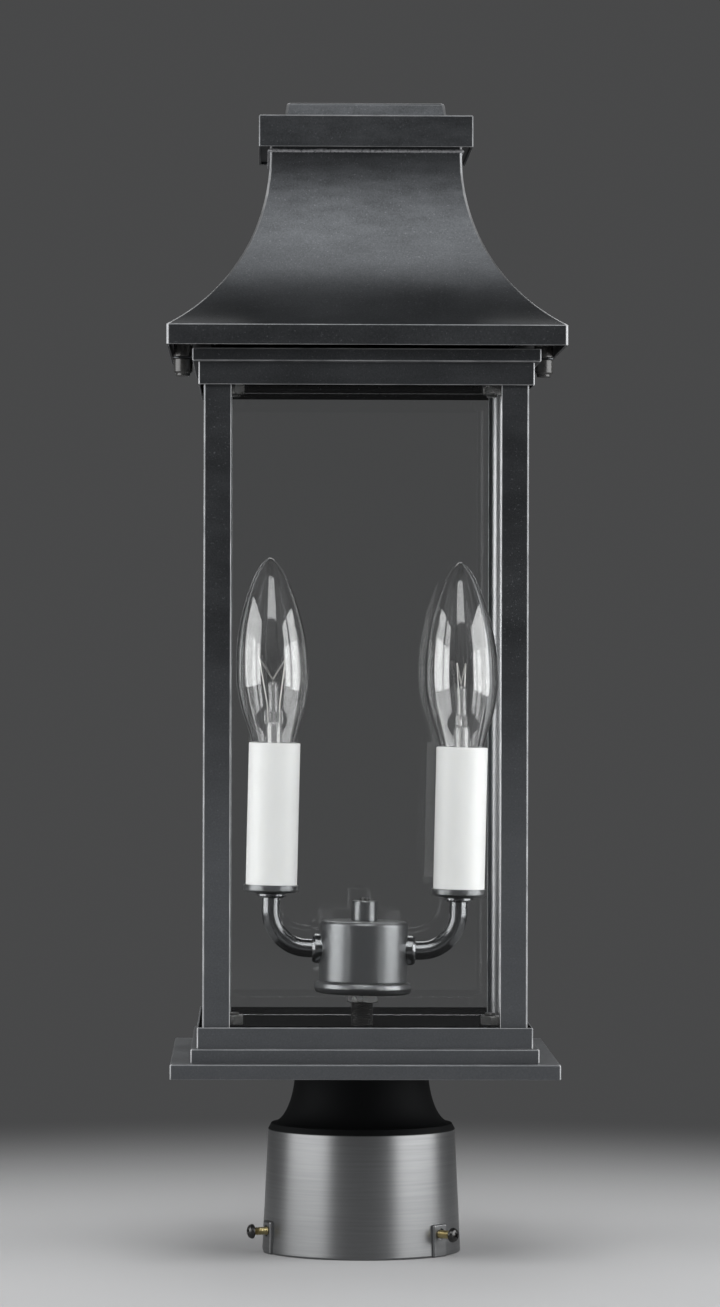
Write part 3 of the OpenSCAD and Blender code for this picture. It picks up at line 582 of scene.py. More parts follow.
def nut_mesh(corner_d, bore_d, height, matrix):
    """Hexagon nut with both faces chamfered. Sizes in millimetres."""
    apothem = corner_d / 2 * math.cos(math.pi / 6)
    face, bore, soft = apothem * 0.96, bore_d / 2, 0.3
    sides, slope = 48, math.tan(math.radians(30))
    form = bmesh.new()
    rings = []
    for inner, z, way in ((bore, soft, 0), (bore + soft, 0, 0), (face, 0, 0), (0, 0, 1),
                          (0, height, -1), (face, height, 0), (bore + soft, height, 0),
                          (bore, height - soft, 0)):
        ring = []
        for i in range(sides):
            angle = 2 * math.pi * i / sides
            off = (angle + math.pi / 6) % (math.pi / 3) - math.pi / 6
            radius = inner or apothem / math.cos(off)
            drop = way * max(0, radius - face) * slope
            ring.append(form.verts.new((radius * math.cos(angle) * MM,
                                        radius * math.sin(angle) * MM, (z + drop) * MM)))
        rings.append(ring)
    return skin(form, rings, matrix)


def cut_mesh(mesh, *cutters, operation="DIFFERENCE"):
    """Mesh after exact booleans with the cutters, which are removed."""
    link = bpy.context.scene.collection.objects.link
    body = bpy.data.objects.new("cutting", mesh)
    link(body)
    used = [body]
    for cutter in cutters:
        used.append(bpy.data.objects.new("cutter", cutter))
        link(used[-1])
        modifier = body.modifiers.new("cut", "BOOLEAN")
        modifier.operation = operation
        modifier.solver = "EXACT"
        modifier.object = used[-1]
    graph = bpy.context.evaluated_depsgraph_get()
    made = bpy.data.meshes.new_from_object(body.evaluated_get(graph))
    for item in used:
        data = item.data
        bpy.data.objects.remove(item)
        bpy.data.meshes.remove(data)
    return made


def place(name, mesh, material, body, *nodes, angle=35, weighted=True):
    """Links a finished mesh as a piece of the lantern that rides on a body."""
    mesh.name = name
    for polygon in mesh.polygons:
        polygon.use_smooth = True
        polygon.material_index = 0
    mesh.set_sharp_from_angle(angle=math.radians(angle))
    mesh.materials.clear()
    mesh.materials.append(finish(material))
    piece = bpy.data.objects.new(name, mesh)
    bpy.context.scene.collection.objects.link(piece)
    if weighted:
        piece.modifiers.new("Even faces", "WEIGHTED_NORMAL").keep_sharp = True
    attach(piece, body)
    if nodes:
        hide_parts(*nodes)


# Materials ---------------------------------------------------------------------------------

# Pale colour painted on marked edges: partly bare metal worn through, partly a painted
# highlight.
BARE_METAL_SHEEN = (0.7, 0.705, 0.715)


class Finish(Graph):
    """A node material under construction, with one Principled shader."""

    def __init__(self, name, color, roughness, metallic=0.0, **sockets):
        self.material = bpy.data.materials.new(name)
        self.material.use_nodes = True
        super().__init__(self.material.node_tree)
        self.shader = self.nodes["Principled BSDF"]
        self.give(Base_Color=(*color, 1), Roughness=roughness, Metallic=metallic, **sockets)
        self.place = self.add("ShaderNodeTexCoord")["Object"]

    def give(self, **sockets):
        """Sets or links inputs of the shader."""
        for label, value in sockets.items():
            self.set(self.shader.inputs[label.replace("_", " ")], value)

    def noise(self, scale, detail=3.0, stretch=(1, 1, 1), roughness=0.5):
        vector = self.vector_math("MULTIPLY", self.place, stretch)[0]
        return self.value("ShaderNodeTexNoise", {
            "Vector": vector, "Scale": scale, "Detail": detail, "Roughness": roughness})

    def span(self, value, low=0.0, high=1.0, start=0.3, end=0.7, **settings):
        """Value between start and end spread from low to high."""
        return self.value("ShaderNodeMapRange", {
            "Value": value, "From Min": start, "From Max": end, "To Min": low,
            "To Max": high}, **settings)

    def mix(self, share, first, second):
        """Colour between two, each an output or a constant."""
        first, second = [c if isinstance(c, bpy.types.NodeSocket) else (*c, 1)
                         for c in (first, second)]
        return self.add("ShaderNodeMix", {0: share, 6: first, 7: second},
                        data_type="RGBA")[2]

    def between(self, share, first, second):
        """Number between two."""
        return self.add("ShaderNodeMix", {0: share, 2: first, 3: second},
                        data_type="FLOAT")[0]

    def bump(self, *layers):
        """Layers of (height, strength, distance in millimetres), the first lies deepest."""
        below = {}
        for height, strength, distance in layers:
            below = {"Normal": self.add("ShaderNodeBump", {
                "Height": height, "Strength": strength, "Distance": distance * MM,
                **below})[0]}
        self.give(**below)

    def cover(self, share, other):
        """Mixes another shader over this one."""
        mixed = self.add("ShaderNodeMixShader",
                         {0: share, 1: self.shader.outputs[0], 2: other})[0]
        self.set(self.nodes["Material Output"].inputs["Surface"], mixed)


def lighter(color, factor):
    return tuple(min(1, c * factor) for c in color)


def inside_body(f, inner):
    """1 on the faces turned to the inside of the glazed body, which get painted shade and no
    gloss.
    """
    across, along, height = f.split(f.vector_math("ABSOLUTE", f.place)[0])
    within = f.math("LESS_THAN", f.math("MAXIMUM", across, along), inner)
    return within * f.math("COMPARE", height, 239 * MM, 150 * MM)


def painted_sheet(name, color, inner=65.5 * MM):
    """Satin powder coat: fine grain, faint clouds of tone and a slight orange peel.

    It is paler low on the body, where a bounce light from the floor is painted in. Inside the
    body it is darkened by painted shade and loses its gloss. Along the edges it marks it is
    painted with bright bare metal: partly wear, partly a painted highlight on the folds and
    corners.
    """
    f = Finish(name, color, 0.4, Specular_IOR_Level=0.8, Specular_Tint=(0.89, 0.94, 1, 1))
    cloud = f.noise(26.0, 4.0, (1, 1, 2.2))
    matte_and_shade = inside_body(f, inner)
    height = f.split(f.place)[2]
    base = f.mix(f.span(cloud), lighter(color, 0.8), lighter(color, 1.3))
    # Painted bounce light from the floor: up to five times paler below 170 mm, fading out by
    # 270 mm.
    base = f.mix(f.span(height, 1.0, 0.0, 170 * MM, 270 * MM), base, lighter(color, 5))
    # Painted shade: inside the glazed body the coat is darkened to a third.
    base = f.mix(matte_and_shade, base, lighter(color, 0.3))
    speck = f.span(f.noise(1300.0, 1.0), start=0.68, end=0.73)
    base = f.mix(speck * 0.55, base, lighter(color, 9))
    # Bare metal painted on marked edges: partly wear, partly a painted highlight on folds and
    # corners.
    rub = f.add("ShaderNodeAttribute", attribute_name="rub")["Fac"]
    worn_and_sheen = (f.math("SUBTRACT", rub, matte_and_shade, use_clamp=True)
            * f.span(f.noise(90.0, 4.0), 0.35, 1.0))
    patch = f.math("MULTIPLY_ADD", f.span(f.noise(75.0, 5.0, (1, 1, 3.5)), -1.0, 1.0),
                   f.span(height, 0.06, 0.2, 425 * MM, 452 * MM),
                   f.span(f.noise(1400.0, 2.0), 0.8, 1.12))
    f.give(Base_Color=f.mix(worn_and_sheen, base, BARE_METAL_SHEEN),
           Roughness=f.between(worn_and_sheen, f.span(cloud, 0.31, 0.41), 0.28),
           Specular_IOR_Level=(1.0 - matte_and_shade) * patch)
    f.bump((f.noise(420.0, 2.0), 0.12, 0.05),
           (f.noise(1900.0, 2.0, roughness=0.7), 0.4, 0.035))
    return f.material


def painted_casting(name, color, low, high, matte_and_shade_above=None):
    """Painted casting: a smooth satin coat over faint turning marks; above a height it is matte
    and darkened with painted shade.
    """
    f = Finish(name, color, 0.34, IOR=1.85, Specular_IOR_Level=0.85, Coat_Weight=0.6,
               Coat_IOR=2.5 if matte_and_shade_above else 2.0, Specular_Tint=(0.93, 0.965, 1, 1),
               Coat_Roughness=low)
    cloud = f.noise(22.0)
    rough = f.span(cloud, low, high)
    layers = [(f.noise(160.0), 0.05, 0.05), (f.noise(2200.0, 2.0), 0.25, 0.025)]
    if matte_and_shade_above:
        brush = f.noise(420.0, 3.0, (0.06, 0.06, 2.2))
        layers.append((brush, 0.2, 0.04))
        matte_and_shade = f.span(f.split(f.place)[2], start=matte_and_shade_above, end=matte_and_shade_above + 0.4 * MM)
        rough = f.between(matte_and_shade, rough, 0.62)
        base = f.mix(f.span(brush), color, lighter(color, 1.8))
        # Painted shade: above the height the colour drops to a fifth, for the shade under the
        # base plate.
        base = f.mix(matte_and_shade, base, lighter(color, 0.2))
        f.give(Specular_IOR_Level=f.span(matte_and_shade, 0.85, 0.1, 0.0, 1.0),
               Coat_Weight=(1.0 - matte_and_shade) * f.span(brush, 0.75, 1.0))
    else:
        base = f.mix(f.span(cloud), lighter(color, 0.85), lighter(color, 1.2))
    f.give(Base_Color=base, Roughness=rough)
    f.bump(*layers)
    return f.material


def weld_metal(name, color):
    f = Finish(name, color, 0.32, 0.5, Specular_IOR_Level=0.6)
    lumps = f.noise(900.0, 4.0)
    f.give(Base_Color=f.mix(f.span(lumps), color, lighter(color, 2.2)),
           Roughness=f.span(lumps, 0.24, 0.42))
    f.bump((lumps, 0.5, 0.08))
    return f.material


def blackened_steel(name, color, sheen=0.85):
    f = Finish(name, color, 0.3, Specular_IOR_Level=sheen)
    stain = f.noise(160.0, 1.0)
    f.give(Base_Color=f.mix(f.span(stain), color, lighter(color, 1.4)),
           Roughness=f.span(stain, 0.25, 0.31))
    f.bump((f.noise(1800.0, 2.0), 0.1, 0.02))
    return f.material


def plated_metal(name, color, roughness, drift=None, drawn=0.12):
    """Bare or plated metal with fine drawing marks and a slow change of tone."""
    f = Finish(name, color, roughness, 1.0)
    cloud = f.noise(180.0, 3.0, (1, 1, min(1, 8 * drawn)))
    marks = f.noise(900.0, 3.0, (1, 1, drawn))
    f.give(Base_Color=f.mix(f.span(cloud), color, drift or lighter(color, 0.82)),
           Roughness=f.span(marks, roughness * 0.8, roughness * 1.3))
    f.bump((marks, 0.2, 0.01))
    return f.material


def candle_plastic(name, color):
    """White sleeve: even satin plastic with faint lines along the tube."""
    f = Finish(name, color, 0.42, Subsurface_Weight=0.08, Specular_IOR_Level=0.45,
               Subsurface_Radius=(1.2 * MM, 1.1 * MM, 0.9 * MM), Subsurface_Scale=1.0)
    lines = f.noise(700.0, 2.0, (1, 1, 0.05))
    f.give(Base_Color=f.mix(f.span(f.noise(60.0, 2.0)), color, lighter(color, 0.965)),
           Roughness=f.span(lines, 0.36, 0.48))
    f.bump((lines, 0.12, 0.02), (f.noise(1900.0, 2.0), 0.08, 0.01))
    return f.material


def moulded_plastic(name, color, roughness=0.45):
    f = Finish(name, color, roughness)
    cloud = f.noise(90.0, 2.0)
    f.give(Base_Color=f.mix(f.span(cloud), color, lighter(color, 0.88)),
           Roughness=f.span(cloud, roughness * 0.85, roughness * 1.15))
    f.bump((f.noise(2400.0, 2.0), 0.2, 0.02))
    return f.material


def clear_glass(name, tint, wave_scale, wave, ior=1.46, coat=0.0, milk=0.0):
    """Clear glass with a faint unevenness in its surface.

    Lamps shine straight through it, so that what stands inside is lit.
    """
    f = Finish(name, tint, 0.0, Transmission_Weight=1 - milk, IOR=ior, Coat_Weight=coat,
               Coat_Roughness=0.01, Coat_IOR=1.9)
    f.give(Roughness=f.span(f.noise(28.0), 0.0, 0.018))
    f.bump((f.noise(wave_scale, 1.0, (1, 1, 0.15) if milk else (1, 1, 1)), wave, 0.05))
    clear = f.add("ShaderNodeBsdfTransparent", {"Color": (*lighter(tint, 0.97), 1)})[0]
    f.cover(f.add("ShaderNodeLightPath")["Is Shadow Ray"], clear)
    return f.material


# For each material: the slot of the pieces made of it, its maker, its colour or the name of
# the setting that holds it, and what else the maker takes
FINISHES = {
    "powder_coat": ("powder_black", painted_sheet, "powder"),
    # The trays' painted shade inside the body reaches 69.4 mm out, over their inner walls.
    "tray_coat": ("powder_black", painted_sheet, "powder", 69.4 * MM),
    "weld": ("powder_black", weld_metal, (0.2, 0.202, 0.21)),
    # The fitter is matte and darkened with painted shade above 52 mm.
    "cast_paint": ("cast_black", painted_casting, "casting", 0.3, 0.36, 52 * MM),
    "lamp_paint": ("cast_black", painted_casting, "lamp", 0.27, 0.34),
    "arm_paint": ("cast_black", painted_casting, "lamp", 0.15, 0.2),
    "cup_paint": ("cast_black", painted_casting, "lamp", 0.3, 0.36),
    "black_steel": ("hardware_black", blackened_steel, "hardware"),
    "thread_steel": ("hardware_black", blackened_steel, "hardware", 0.3),
    "thumb_steel": ("hardware_black", blackened_steel, "thumb"),
    "yellow_zinc": ("yellow_zinc", plated_metal, "yellow_zinc", 0.34, (0.55, 0.5, 0.3)),
    "zinc": (None, plated_metal, "steel", 0.3),
    "dull_zinc": (None, plated_metal, (0.16, 0.16, 0.162), 0.36),
    "rod_steel": (None, plated_metal, (0.4, 0.405, 0.415), 0.34, None, 0.006),
    "brass": ("brass", plated_metal, "brass", 0.26),
    "tungsten": ("plain_steel", plated_metal, (0.74, 0.73, 0.71), 0.3),
    "sleeve_white": ("candle_white", candle_plastic, "sleeve"),
    "phenolic": (None, moulded_plastic, (0.02, 0.016, 0.013)),
    "wire_jacket": (None, moulded_plastic, (0.74, 0.73, 0.7), 0.5),
    "connector": (None, moulded_plastic, (0.55, 0.16, 0.03), 0.4),
    "base_glass": ("socket_plastic", moulded_plastic, (0.03, 0.03, 0.05), 0.15),
    "solder": ("plain_steel", plated_metal, (0.6, 0.6, 0.6), 0.38),
    "pane_glass": ("clear_glass", clear_glass, "pane", 9.0, 0.04, 1.5),
    "bulb_glass": ("bulb_glass", clear_glass, "bulb", 60.0, 0.06, 1.46, 0.5),
    "stem_glass": ("bulb_glass", clear_glass, "bulb", 520.0, 0.6, 1.5, 1.0, 0.08),
}
MADE = {}


def finish(name):
    """The lantern's own material of that name, made on first use."""
    if name not in MADE:
        _, maker, color, *more = FINISHES[name]
        if isinstance(color, str):
            color = getattr(bpy.context.scene.lantern_finish, color)
        MADE[name] = maker(name, color, *more)
    return MADE[name]


def dress(material, *nodes):
    """Gives carried-over nodes their material."""
    for name in nodes:
        materials = frame["nodes"][name].data.materials
        materials.clear()
        materials.append(finish(material))


# Pieces ------------------------------------------------------------------------------------

SET_SCREWS = {"front_left": -70, "front_right": 50, "rear": 170}  # azimuths in degrees
SET_SCREW_Z = 9.8 * MM
TRAY_BOLT_X = 55 * MM
STUD_X = 77.4 * MM
HOLE = 5.75 * MM  # radius of the hole for the nipple
OPENING = 49 * MM  # half width of the opening under the roof
FLAT_GUARD = 0.5 * MM

# Sizes in millimetres, for lathe
FRAME_TOP = 383.2
HUB_FOOT, HUB_TOP = 115.6, 141.5
NIPPLE_BORE = 4.95  # radius of the hole for the nipple in the hub's pieces
ARM_BORE = 4.05  # radius of the hole for an arm
CUP_FOOT = 152.7
CUP_FLOOR = 154.1


def mm(*sizes):
    """Millimetres as metres."""
    return tuple(size * MM for size in sizes)


def flat_guards(a, b):
    """Unmarked points just inside both ends of a flat stretch, so wear and painted highlight
    keep to its edges.
    """
    (x0, _, z0), (x1, _, z1) = a[0], b[0]
    long = abs(x1 - x0)
    if long < 4 * FLAT_GUARD or abs(z1 - z0) > 0.2 * long:
        return []
    return [(tuple(p + (q - p) * share for p, q in zip(a[0], b[0])),
             a[1] + (b[1] - a[1]) * share, 0.0, 0.0)
            for share in (FLAT_GUARD / long, 1 - FLAT_GUARD / long)]


def sheet_piece(name, points, body, node, corner_steps=None, material="powder_coat",
                extra=(), fold_wear_and_sheen=1.0):
    """Folded square piece from a closed profile of (half width, height, fold, corner, wear and
    painted highlight).

    A corner without a share of its own gets wear and a painted highlight where it is sharp.
    """
    rubs_and_sheens, stations = [], []
    path = rounded_path([point[:3] for point in points], marks=rubs_and_sheens)
    for p, rub in zip(path, rubs_and_sheens):
        nearest = min(points, key=lambda q: (q[0] - p.x) ** 2 + (q[1] - p.y) ** 2)
        wear = nearest[4] if len(nearest) > 4 else 0.9 * (nearest[3] < 2 * MM)
        stations.append(((p.x, 0, p.y), nearest[3], rub * fold_wear_and_sheen, wear))
    stations = [row for a, b in zip(stations, stations[1:] + stations[:1])
                for row in [a] + flat_guards(a, b)]
    outline, corners, rubs_and_sheens, wear = [list(row) + [row[0]] for row in zip(*stations)]
    steps = corner_steps or bpy.context.scene.lantern_sheet.corner_steps
    mesh = grow(line_mesh(outline, corner=corners, rub=rubs_and_sheens, wear=wear), "sheet", material,
                corner_steps=steps)
    form = bmesh.new()
    form.from_mesh(mesh)
    bpy.data.meshes.remove(mesh)
    bmesh.ops.dissolve_degenerate(form, dist=1e-6, edges=form.edges)
    mesh = from_bmesh(form)
    if extra:
        mesh = joined(mesh, *extra)
    place(name, mesh, material, body, node)


def pan(node, hole=0, edge=None, draw_in=0, wear=()):
    """Profile of a pan that lies upside down, with a round hole in its middle."""
    s = bpy.context.scene.lantern_sheet
    low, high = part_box(node)
    lip, t, edge = s.lip_radius, s.sheet, edge or s.fold_radius
    top = high.x - draw_in
    return [(high.x, low.z, lip, edge, *wear), (top, high.z, edge, edge, *wear),
            (hole, high.z, 0, hole), (hole, high.z - t, 0, hole),
            (top - t, high.z - t, 0, lip), (high.x - t, low.z, lip, lip)]


class LANTERN_OT_roof(bpy.types.Operator):
    """Concave flared roof of one folded and welded sheet"""

    bl_idname = "lantern.roof"
    bl_label = "Roof"

    def execute(self, context):
        s = context.scene.lantern_sheet
        low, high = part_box("roof_shell")
        foot = high.x
        top = low.z + s.fascia_height + s.flare_height
        run = foot - s.neck_half
        radius = (run * run + s.flare_height ** 2) / (2 * run)
        centre = s.neck_half + radius

        def flare(inset):
            r = radius + inset
            steep = math.acos((centre - foot + inset) / r)
            turns = [steep * i / s.flare_steps for i in range(s.flare_steps, -1, -1)]
            return [(centre - r * math.cos(a), top - r * math.sin(a)) for a in turns]

        hip, lip = s.hip_radius, s.lip_radius
        points = [(foot, low.z, lip, hip)]
        for i, (half, z) in enumerate(flare(0)):
            dressed = 1 + 0.22 * noise.noise(Vector((0, 0, z * 310)))
            share = (z - top) / s.flare_height + 1
            # Wear and painted highlight on the hips: strongest at the neck, fading towards the
            # eaves; the eave fold gets 0.9.
            points.append((half, z, 0 if i else s.fold_radius, hip * dressed,
                           0.03 + 0.75 * share ** 1.6 if i else 0.9))
        points += [(s.neck_half, high.z, lip, hip), (s.neck_half - s.sheet, high.z, lip, lip)]
        points += [(half, z, 0, lip) for half, z in reversed(flare(s.sheet))]
        points.append((foot - s.sheet, low.z, lip, lip))
        sheet_piece("roof_flare", points, "roof", "roof_shell", corner_steps=6)
        return {"FINISHED"}


class LANTERN_OT_weld_bead(bpy.types.Operator):
    """Weld bead between the roof's neck and the cap"""

    bl_idname = "lantern.weld_bead"
    bl_label = "Weld Bead"

    def execute(self, context):
        s = context.scene.lantern_sheet
        low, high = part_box("neck_bead")
        half = s.neck_half + 0.1 * MM
        ring = rounded_path([(x * half, y * half, s.hip_radius)
                             for x, y in ((1, 1), (-1, 1), (-1, -1), (1, -1))], 6)
        mesh = grow(line_mesh([(p.x, p.y, (low.z + high.z) / 2) for p in ring], closed=True),
                    "bead", "weld", radius=s.bead_radius, ripple=1.5 * MM, wander=0.75 * MM)
        place("neck_weld_bead", mesh, "weld", "roof", "neck_bead", weighted=False)
        return {"FINISHED"}


class LANTERN_OT_cap(bpy.types.Operator):
    """Chimney cap and the shallow block on it"""

    bl_idname = "lantern.cap"
    bl_label = "Cap"

    def execute(self, context):
        # Folds and corners of the cap get wear and a painted highlight; the block's folds only
        # a quarter of it.
        sheet_piece("cap_pan", pan("chimney_cap", wear=(0.4,)), "roof", "chimney_cap")
        sheet_piece("cap_top_block",
                    pan("cap_block", edge=1.3 * MM, draw_in=1.0 * MM, wear=(0.3,)),
                    "roof", "cap_block", fold_wear_and_sheen=0.25)
        dress("powder_coat", "cap_floor", "roof_ring")
        return {"FINISHED"}


class LANTERN_OT_trays(bpy.types.Operator):
    """Base plate, base step, both trays and the upper frame with its ears"""

    bl_idname = "lantern.trays"
    bl_label = "Plates and Trays"

    def execute(self, context):
        s = context.scene.lantern_sheet
        fold, lip, t = s.fold_radius, s.lip_radius, s.sheet
        # The plates' folds get wear and a painted highlight at under half strength.
        for node in ("base_plate", "base_step"):
            sheet_piece(node + "_pan", pan(node, HOLE), "lantern", node, fold_wear_and_sheen=0.45)
        low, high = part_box("base_tray")
        floor = context.scene.lantern_lamp.floor_z
        sheet_piece("base_tray_pan", [
            (high.x, low.z, lip, fold), (high.x, high.z, lip * 1.3, fold),
            (high.x - t, high.z, lip, lip), (high.x - t, floor, 0, lip), (HOLE, floor, 0, HOLE),
            (HOLE, floor - t, 0, HOLE), (high.x - t, floor - t, 0, lip),
            (high.x - t, low.z, lip, lip)], "lantern", "base_tray", material="tray_coat")
        low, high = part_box("top_tray")
        ceiling = low.z + 3.2 * MM
        sheet_piece("top_tray_pan", [
            (high.x, low.z, lip * 1.3, fold), (high.x, high.z, lip, fold),
            (high.x - t, high.z, lip, lip), (high.x - t, ceiling + t, 0, lip),
            (OPENING, ceiling + t, lip, lip), (OPENING, ceiling, lip, lip),
            (high.x - t, ceiling, 0, lip), (high.x - t, low.z, lip, lip)],
            "lantern", "top_tray", material="tray_coat")
        low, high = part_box("upper_frame")
        side, inner = high.y, high.y - 8.7 * MM
        ear_half, ear_t = 3.2 * MM, 0.8 * MM
        tip = high.x - ear_half
        bend = [math.pi * i / 16 for i in range(1, 16)]
        outline = [(side - t, -ear_half), (tip, -ear_half)]
        outline += [(tip + ear_half * math.sin(a), -ear_half * math.cos(a)) for a in bend]
        outline += [(tip, ear_half), (side - t, ear_half)]
        ears = [prism([(way * x, y) for x, y in outline], high.z - ear_t, high.z, 0.2 * MM)
                for way in (-1, 1)]
        sheet_piece("upper_frame_pan", [
            (side, low.z, fold, fold), (side, high.z, fold, fold),
            (OPENING, high.z, lip, lip), (OPENING, high.z - t, lip, lip),
            (side - t, high.z - t, 0, lip), (side - t, low.z + t, 0, lip),
            (inner, low.z + t, lip, lip), (inner, low.z, lip, lip)],
            "lantern", "upper_frame", extra=ears)
        return {"FINISHED"}


class LANTERN_OT_posts(bpy.types.Operator):
    """Four folded corner posts"""

    bl_idname = "lantern.posts"
    bl_label = "Corner Posts"

    def execute(self, context):
        s = context.scene.lantern_sheet
        lip, steps = s.lip_radius, 5
        for node in ("post_front_left", "post_front_right", "post_rear_left",
                     "post_rear_right"):
            low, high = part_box(node)
            sx, sy = math.copysign(1, low.x), math.copysign(1, low.y)
            inner, outer = sorted((abs(low.x), abs(high.x)))
            flat = outer - 1.2 * MM
            rubs_and_sheens = []
            outline = rounded_path([
                (outer, outer, s.post_radius), (inner, outer, lip), (inner, flat, lip),
                (flat, flat, lip), (flat, inner, lip), (outer, inner, lip)], steps,
                marks=rubs_and_sheens)
            # Wear and painted highlight on the corners: 1.8 times on the outer fold, three
            # times on the inner lips.
            mesh = prism([(sx * p.x, sy * p.y) for p in outline], low.z, high.z,
                         rubs_and_sheens=[(3 if i > steps else 1.8) * rub for i, rub in enumerate(rubs_and_sheens)])
            place("corner_" + node, mesh, "powder_coat", "lantern", node)
        dress("rod_steel", "tie_rods")
        dress("dull_zinc", "tie_rod_nuts")
        return {"FINISHED"}


class LANTERN_OT_panes(bpy.types.Operator):
    """Four panes of clear glass with ground edges"""

    bl_idname = "lantern.panes"
    bl_label = "Glass Panes"

    def execute(self, context):
        for side in ("front", "rear", "left", "right"):
            mesh = box_mesh(*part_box("glass_" + side), 0.35 * MM, 2)
            place("pane_" + side, mesh, "pane_glass", "lantern", "glass_" + side)
        return {"FINISHED"}


def screw_axis(azimuth):
    """Turns Z into the axis of the set screw at that azimuth, pointing outwards."""
    return (Matrix.Rotation(math.radians(azimuth), 4, "Z")
            @ Matrix.Translation((0, 0, SET_SCREW_Z))
            @ Matrix.Rotation(QUARTER, 4, "X"))


class LANTERN_OT_fitter(bpy.types.Operator):
    """Cast post fitter with its pads and screw holes"""

    bl_idname = "lantern.fitter"
    bl_label = "Post Fitter"

    def execute(self, context):
        neck, wall = 28.5, 3.4
        flare = [(neck + 10.25 * (1 - math.sin(a)), 54.8 + 24.4 * (1 - math.cos(a)))
                 for a in [math.radians(90 * i / 14) for i in range(15)]]
        body = lathe([
            (38.6, 0, 0.5), (42.5, 0, 0.9), (40, 52.5, 0.5), *[(r, z, 0) for r, z in flare],
            (neck, 84.5, 0.4), (5.75, 84.5, 0.2), (5.75, 81.1, 0.2), (25.1, 81.1, 1.2),
            *[(r - wall, z - wall, 0) for r, z in reversed(flare)],
            (35.6, 51.4, 0), (35.6, 42, 0.3), (38.6, 42, 0)], 128)
        pads, cutters = [], []
        for azimuth in SET_SCREWS.values():
            pads.append(box_mesh(mm(-4.25, -43.4, 0), mm(4.25, -40.2, 14), 0.8 * MM, 4,
                                 Matrix.Rotation(math.radians(azimuth), 4, "Z")))
            for radius, start in ((1.8, 37), (2.45, 42.6)):
                profile = [(0, start), (radius, start), (radius, 45), (0, 45)]
                cutters.append(turned([Vector(p) * MM for p in profile], 32,
                                      screw_axis(azimuth)))
        body = cut_mesh(body, *pads, operation="UNION")
        place("cast_fitter", cut_mesh(body, *cutters), "cast_paint", "lantern",
              "post_fitter", angle=32)
        return {"FINISHED"}


class LANTERN_OT_set_screws(bpy.types.Operator):
    """Three set screws with a plated thread and a black cross-recess head"""

    bl_idname = "lantern.set_screws"
    bl_label = "Set Screws"

    def execute(self, context):
        start, radius = 38.7, 1.75
        under = start + 10.6
        thread = threaded(
            [(0, start), (radius - 0.5, start), *rows(radius, start + 0.5, under, 0.07),
             (0, under)], 24, "yellow_zinc", radius=radius, pitch=0.7, depth=0.34,
            low=start + 0.5, high=under)
        head = lathe([
            (0, under, 0), (3.1, under, 0.35), (3.1, under + 0.9, 0.5),
            (2.5, under + 1.95, 0.7), (1.4, under + 2.5, 0.6), (0, under + 2.6, 0)], 40)
        blades = []
        for turn in (28, 118):
            form = bmesh.new()
            corners = [form.verts.new(mm(sx * x, sy * y, under + z))
                       for x, y, z in ((1.7, 0.42, 2.7), (0.5, 0.25, 1.1))
                       for sx, sy in ((-1, -1), (1, -1), (1, 1), (-1, 1))]
            for face in ((0, 1, 2, 3), (7, 6, 5, 4), (0, 4, 5, 1), (1, 5, 6, 2), (2, 6, 7, 3),
                         (3, 7, 4, 0)):
                form.faces.new([corners[i] for i in face])
            blades.append(from_bmesh(form, Matrix.Rotation(math.radians(turn), 4, "Z")))
        head = cut_mesh(head, *blades)
        for side, azimuth in SET_SCREWS.items():
            for kind, mesh, material, nodes in (
                    ("thread", thread, "yellow_zinc", ["set_screw_" + side]),
                    ("head", head, "black_steel", [])):
                copy = mesh.copy()
                copy.transform(screw_axis(azimuth))
                place("set_screw_%s_%s" % (kind, side), copy, material,
                      "set_screw_" + side, *nodes)
        for mesh in (thread, head):
            bpy.data.meshes.remove(mesh)
        return {"FINISHED"}


def shank(radius, low, high, chamfer, step, bore=0):
    """(radius, height) profile of a rod or a tube with chamfered ends, in millimetres."""
    return [(bore, low), (radius - chamfer, low),
            *rows(radius, low + chamfer, high - chamfer, step),
            (radius - chamfer, high), (bore, high)]


def threaded_bolt(radius, low, high, pitch):
    """Bolt along Z with its thread from low to high. Sizes in millimetres."""
    return threaded(shank(radius, low, high, 0.45, pitch / 9), 24, "black_steel",
                    radius=radius, pitch=pitch, depth=0.5 * pitch, low=low, high=high)


def repeated(template, x):
    """Copies of a template mesh left and right of the middle, laid by the repeat tree."""
    holder = bpy.data.objects.new("template", template)
    bpy.context.scene.collection.objects.link(holder)
    mesh = grow(line_mesh([(-x, 0, 0), (x, 0, 0)]), "repeat", "black_steel", piece=holder)
    bpy.data.objects.remove(holder)
    bpy.data.meshes.remove(template)
    return mesh


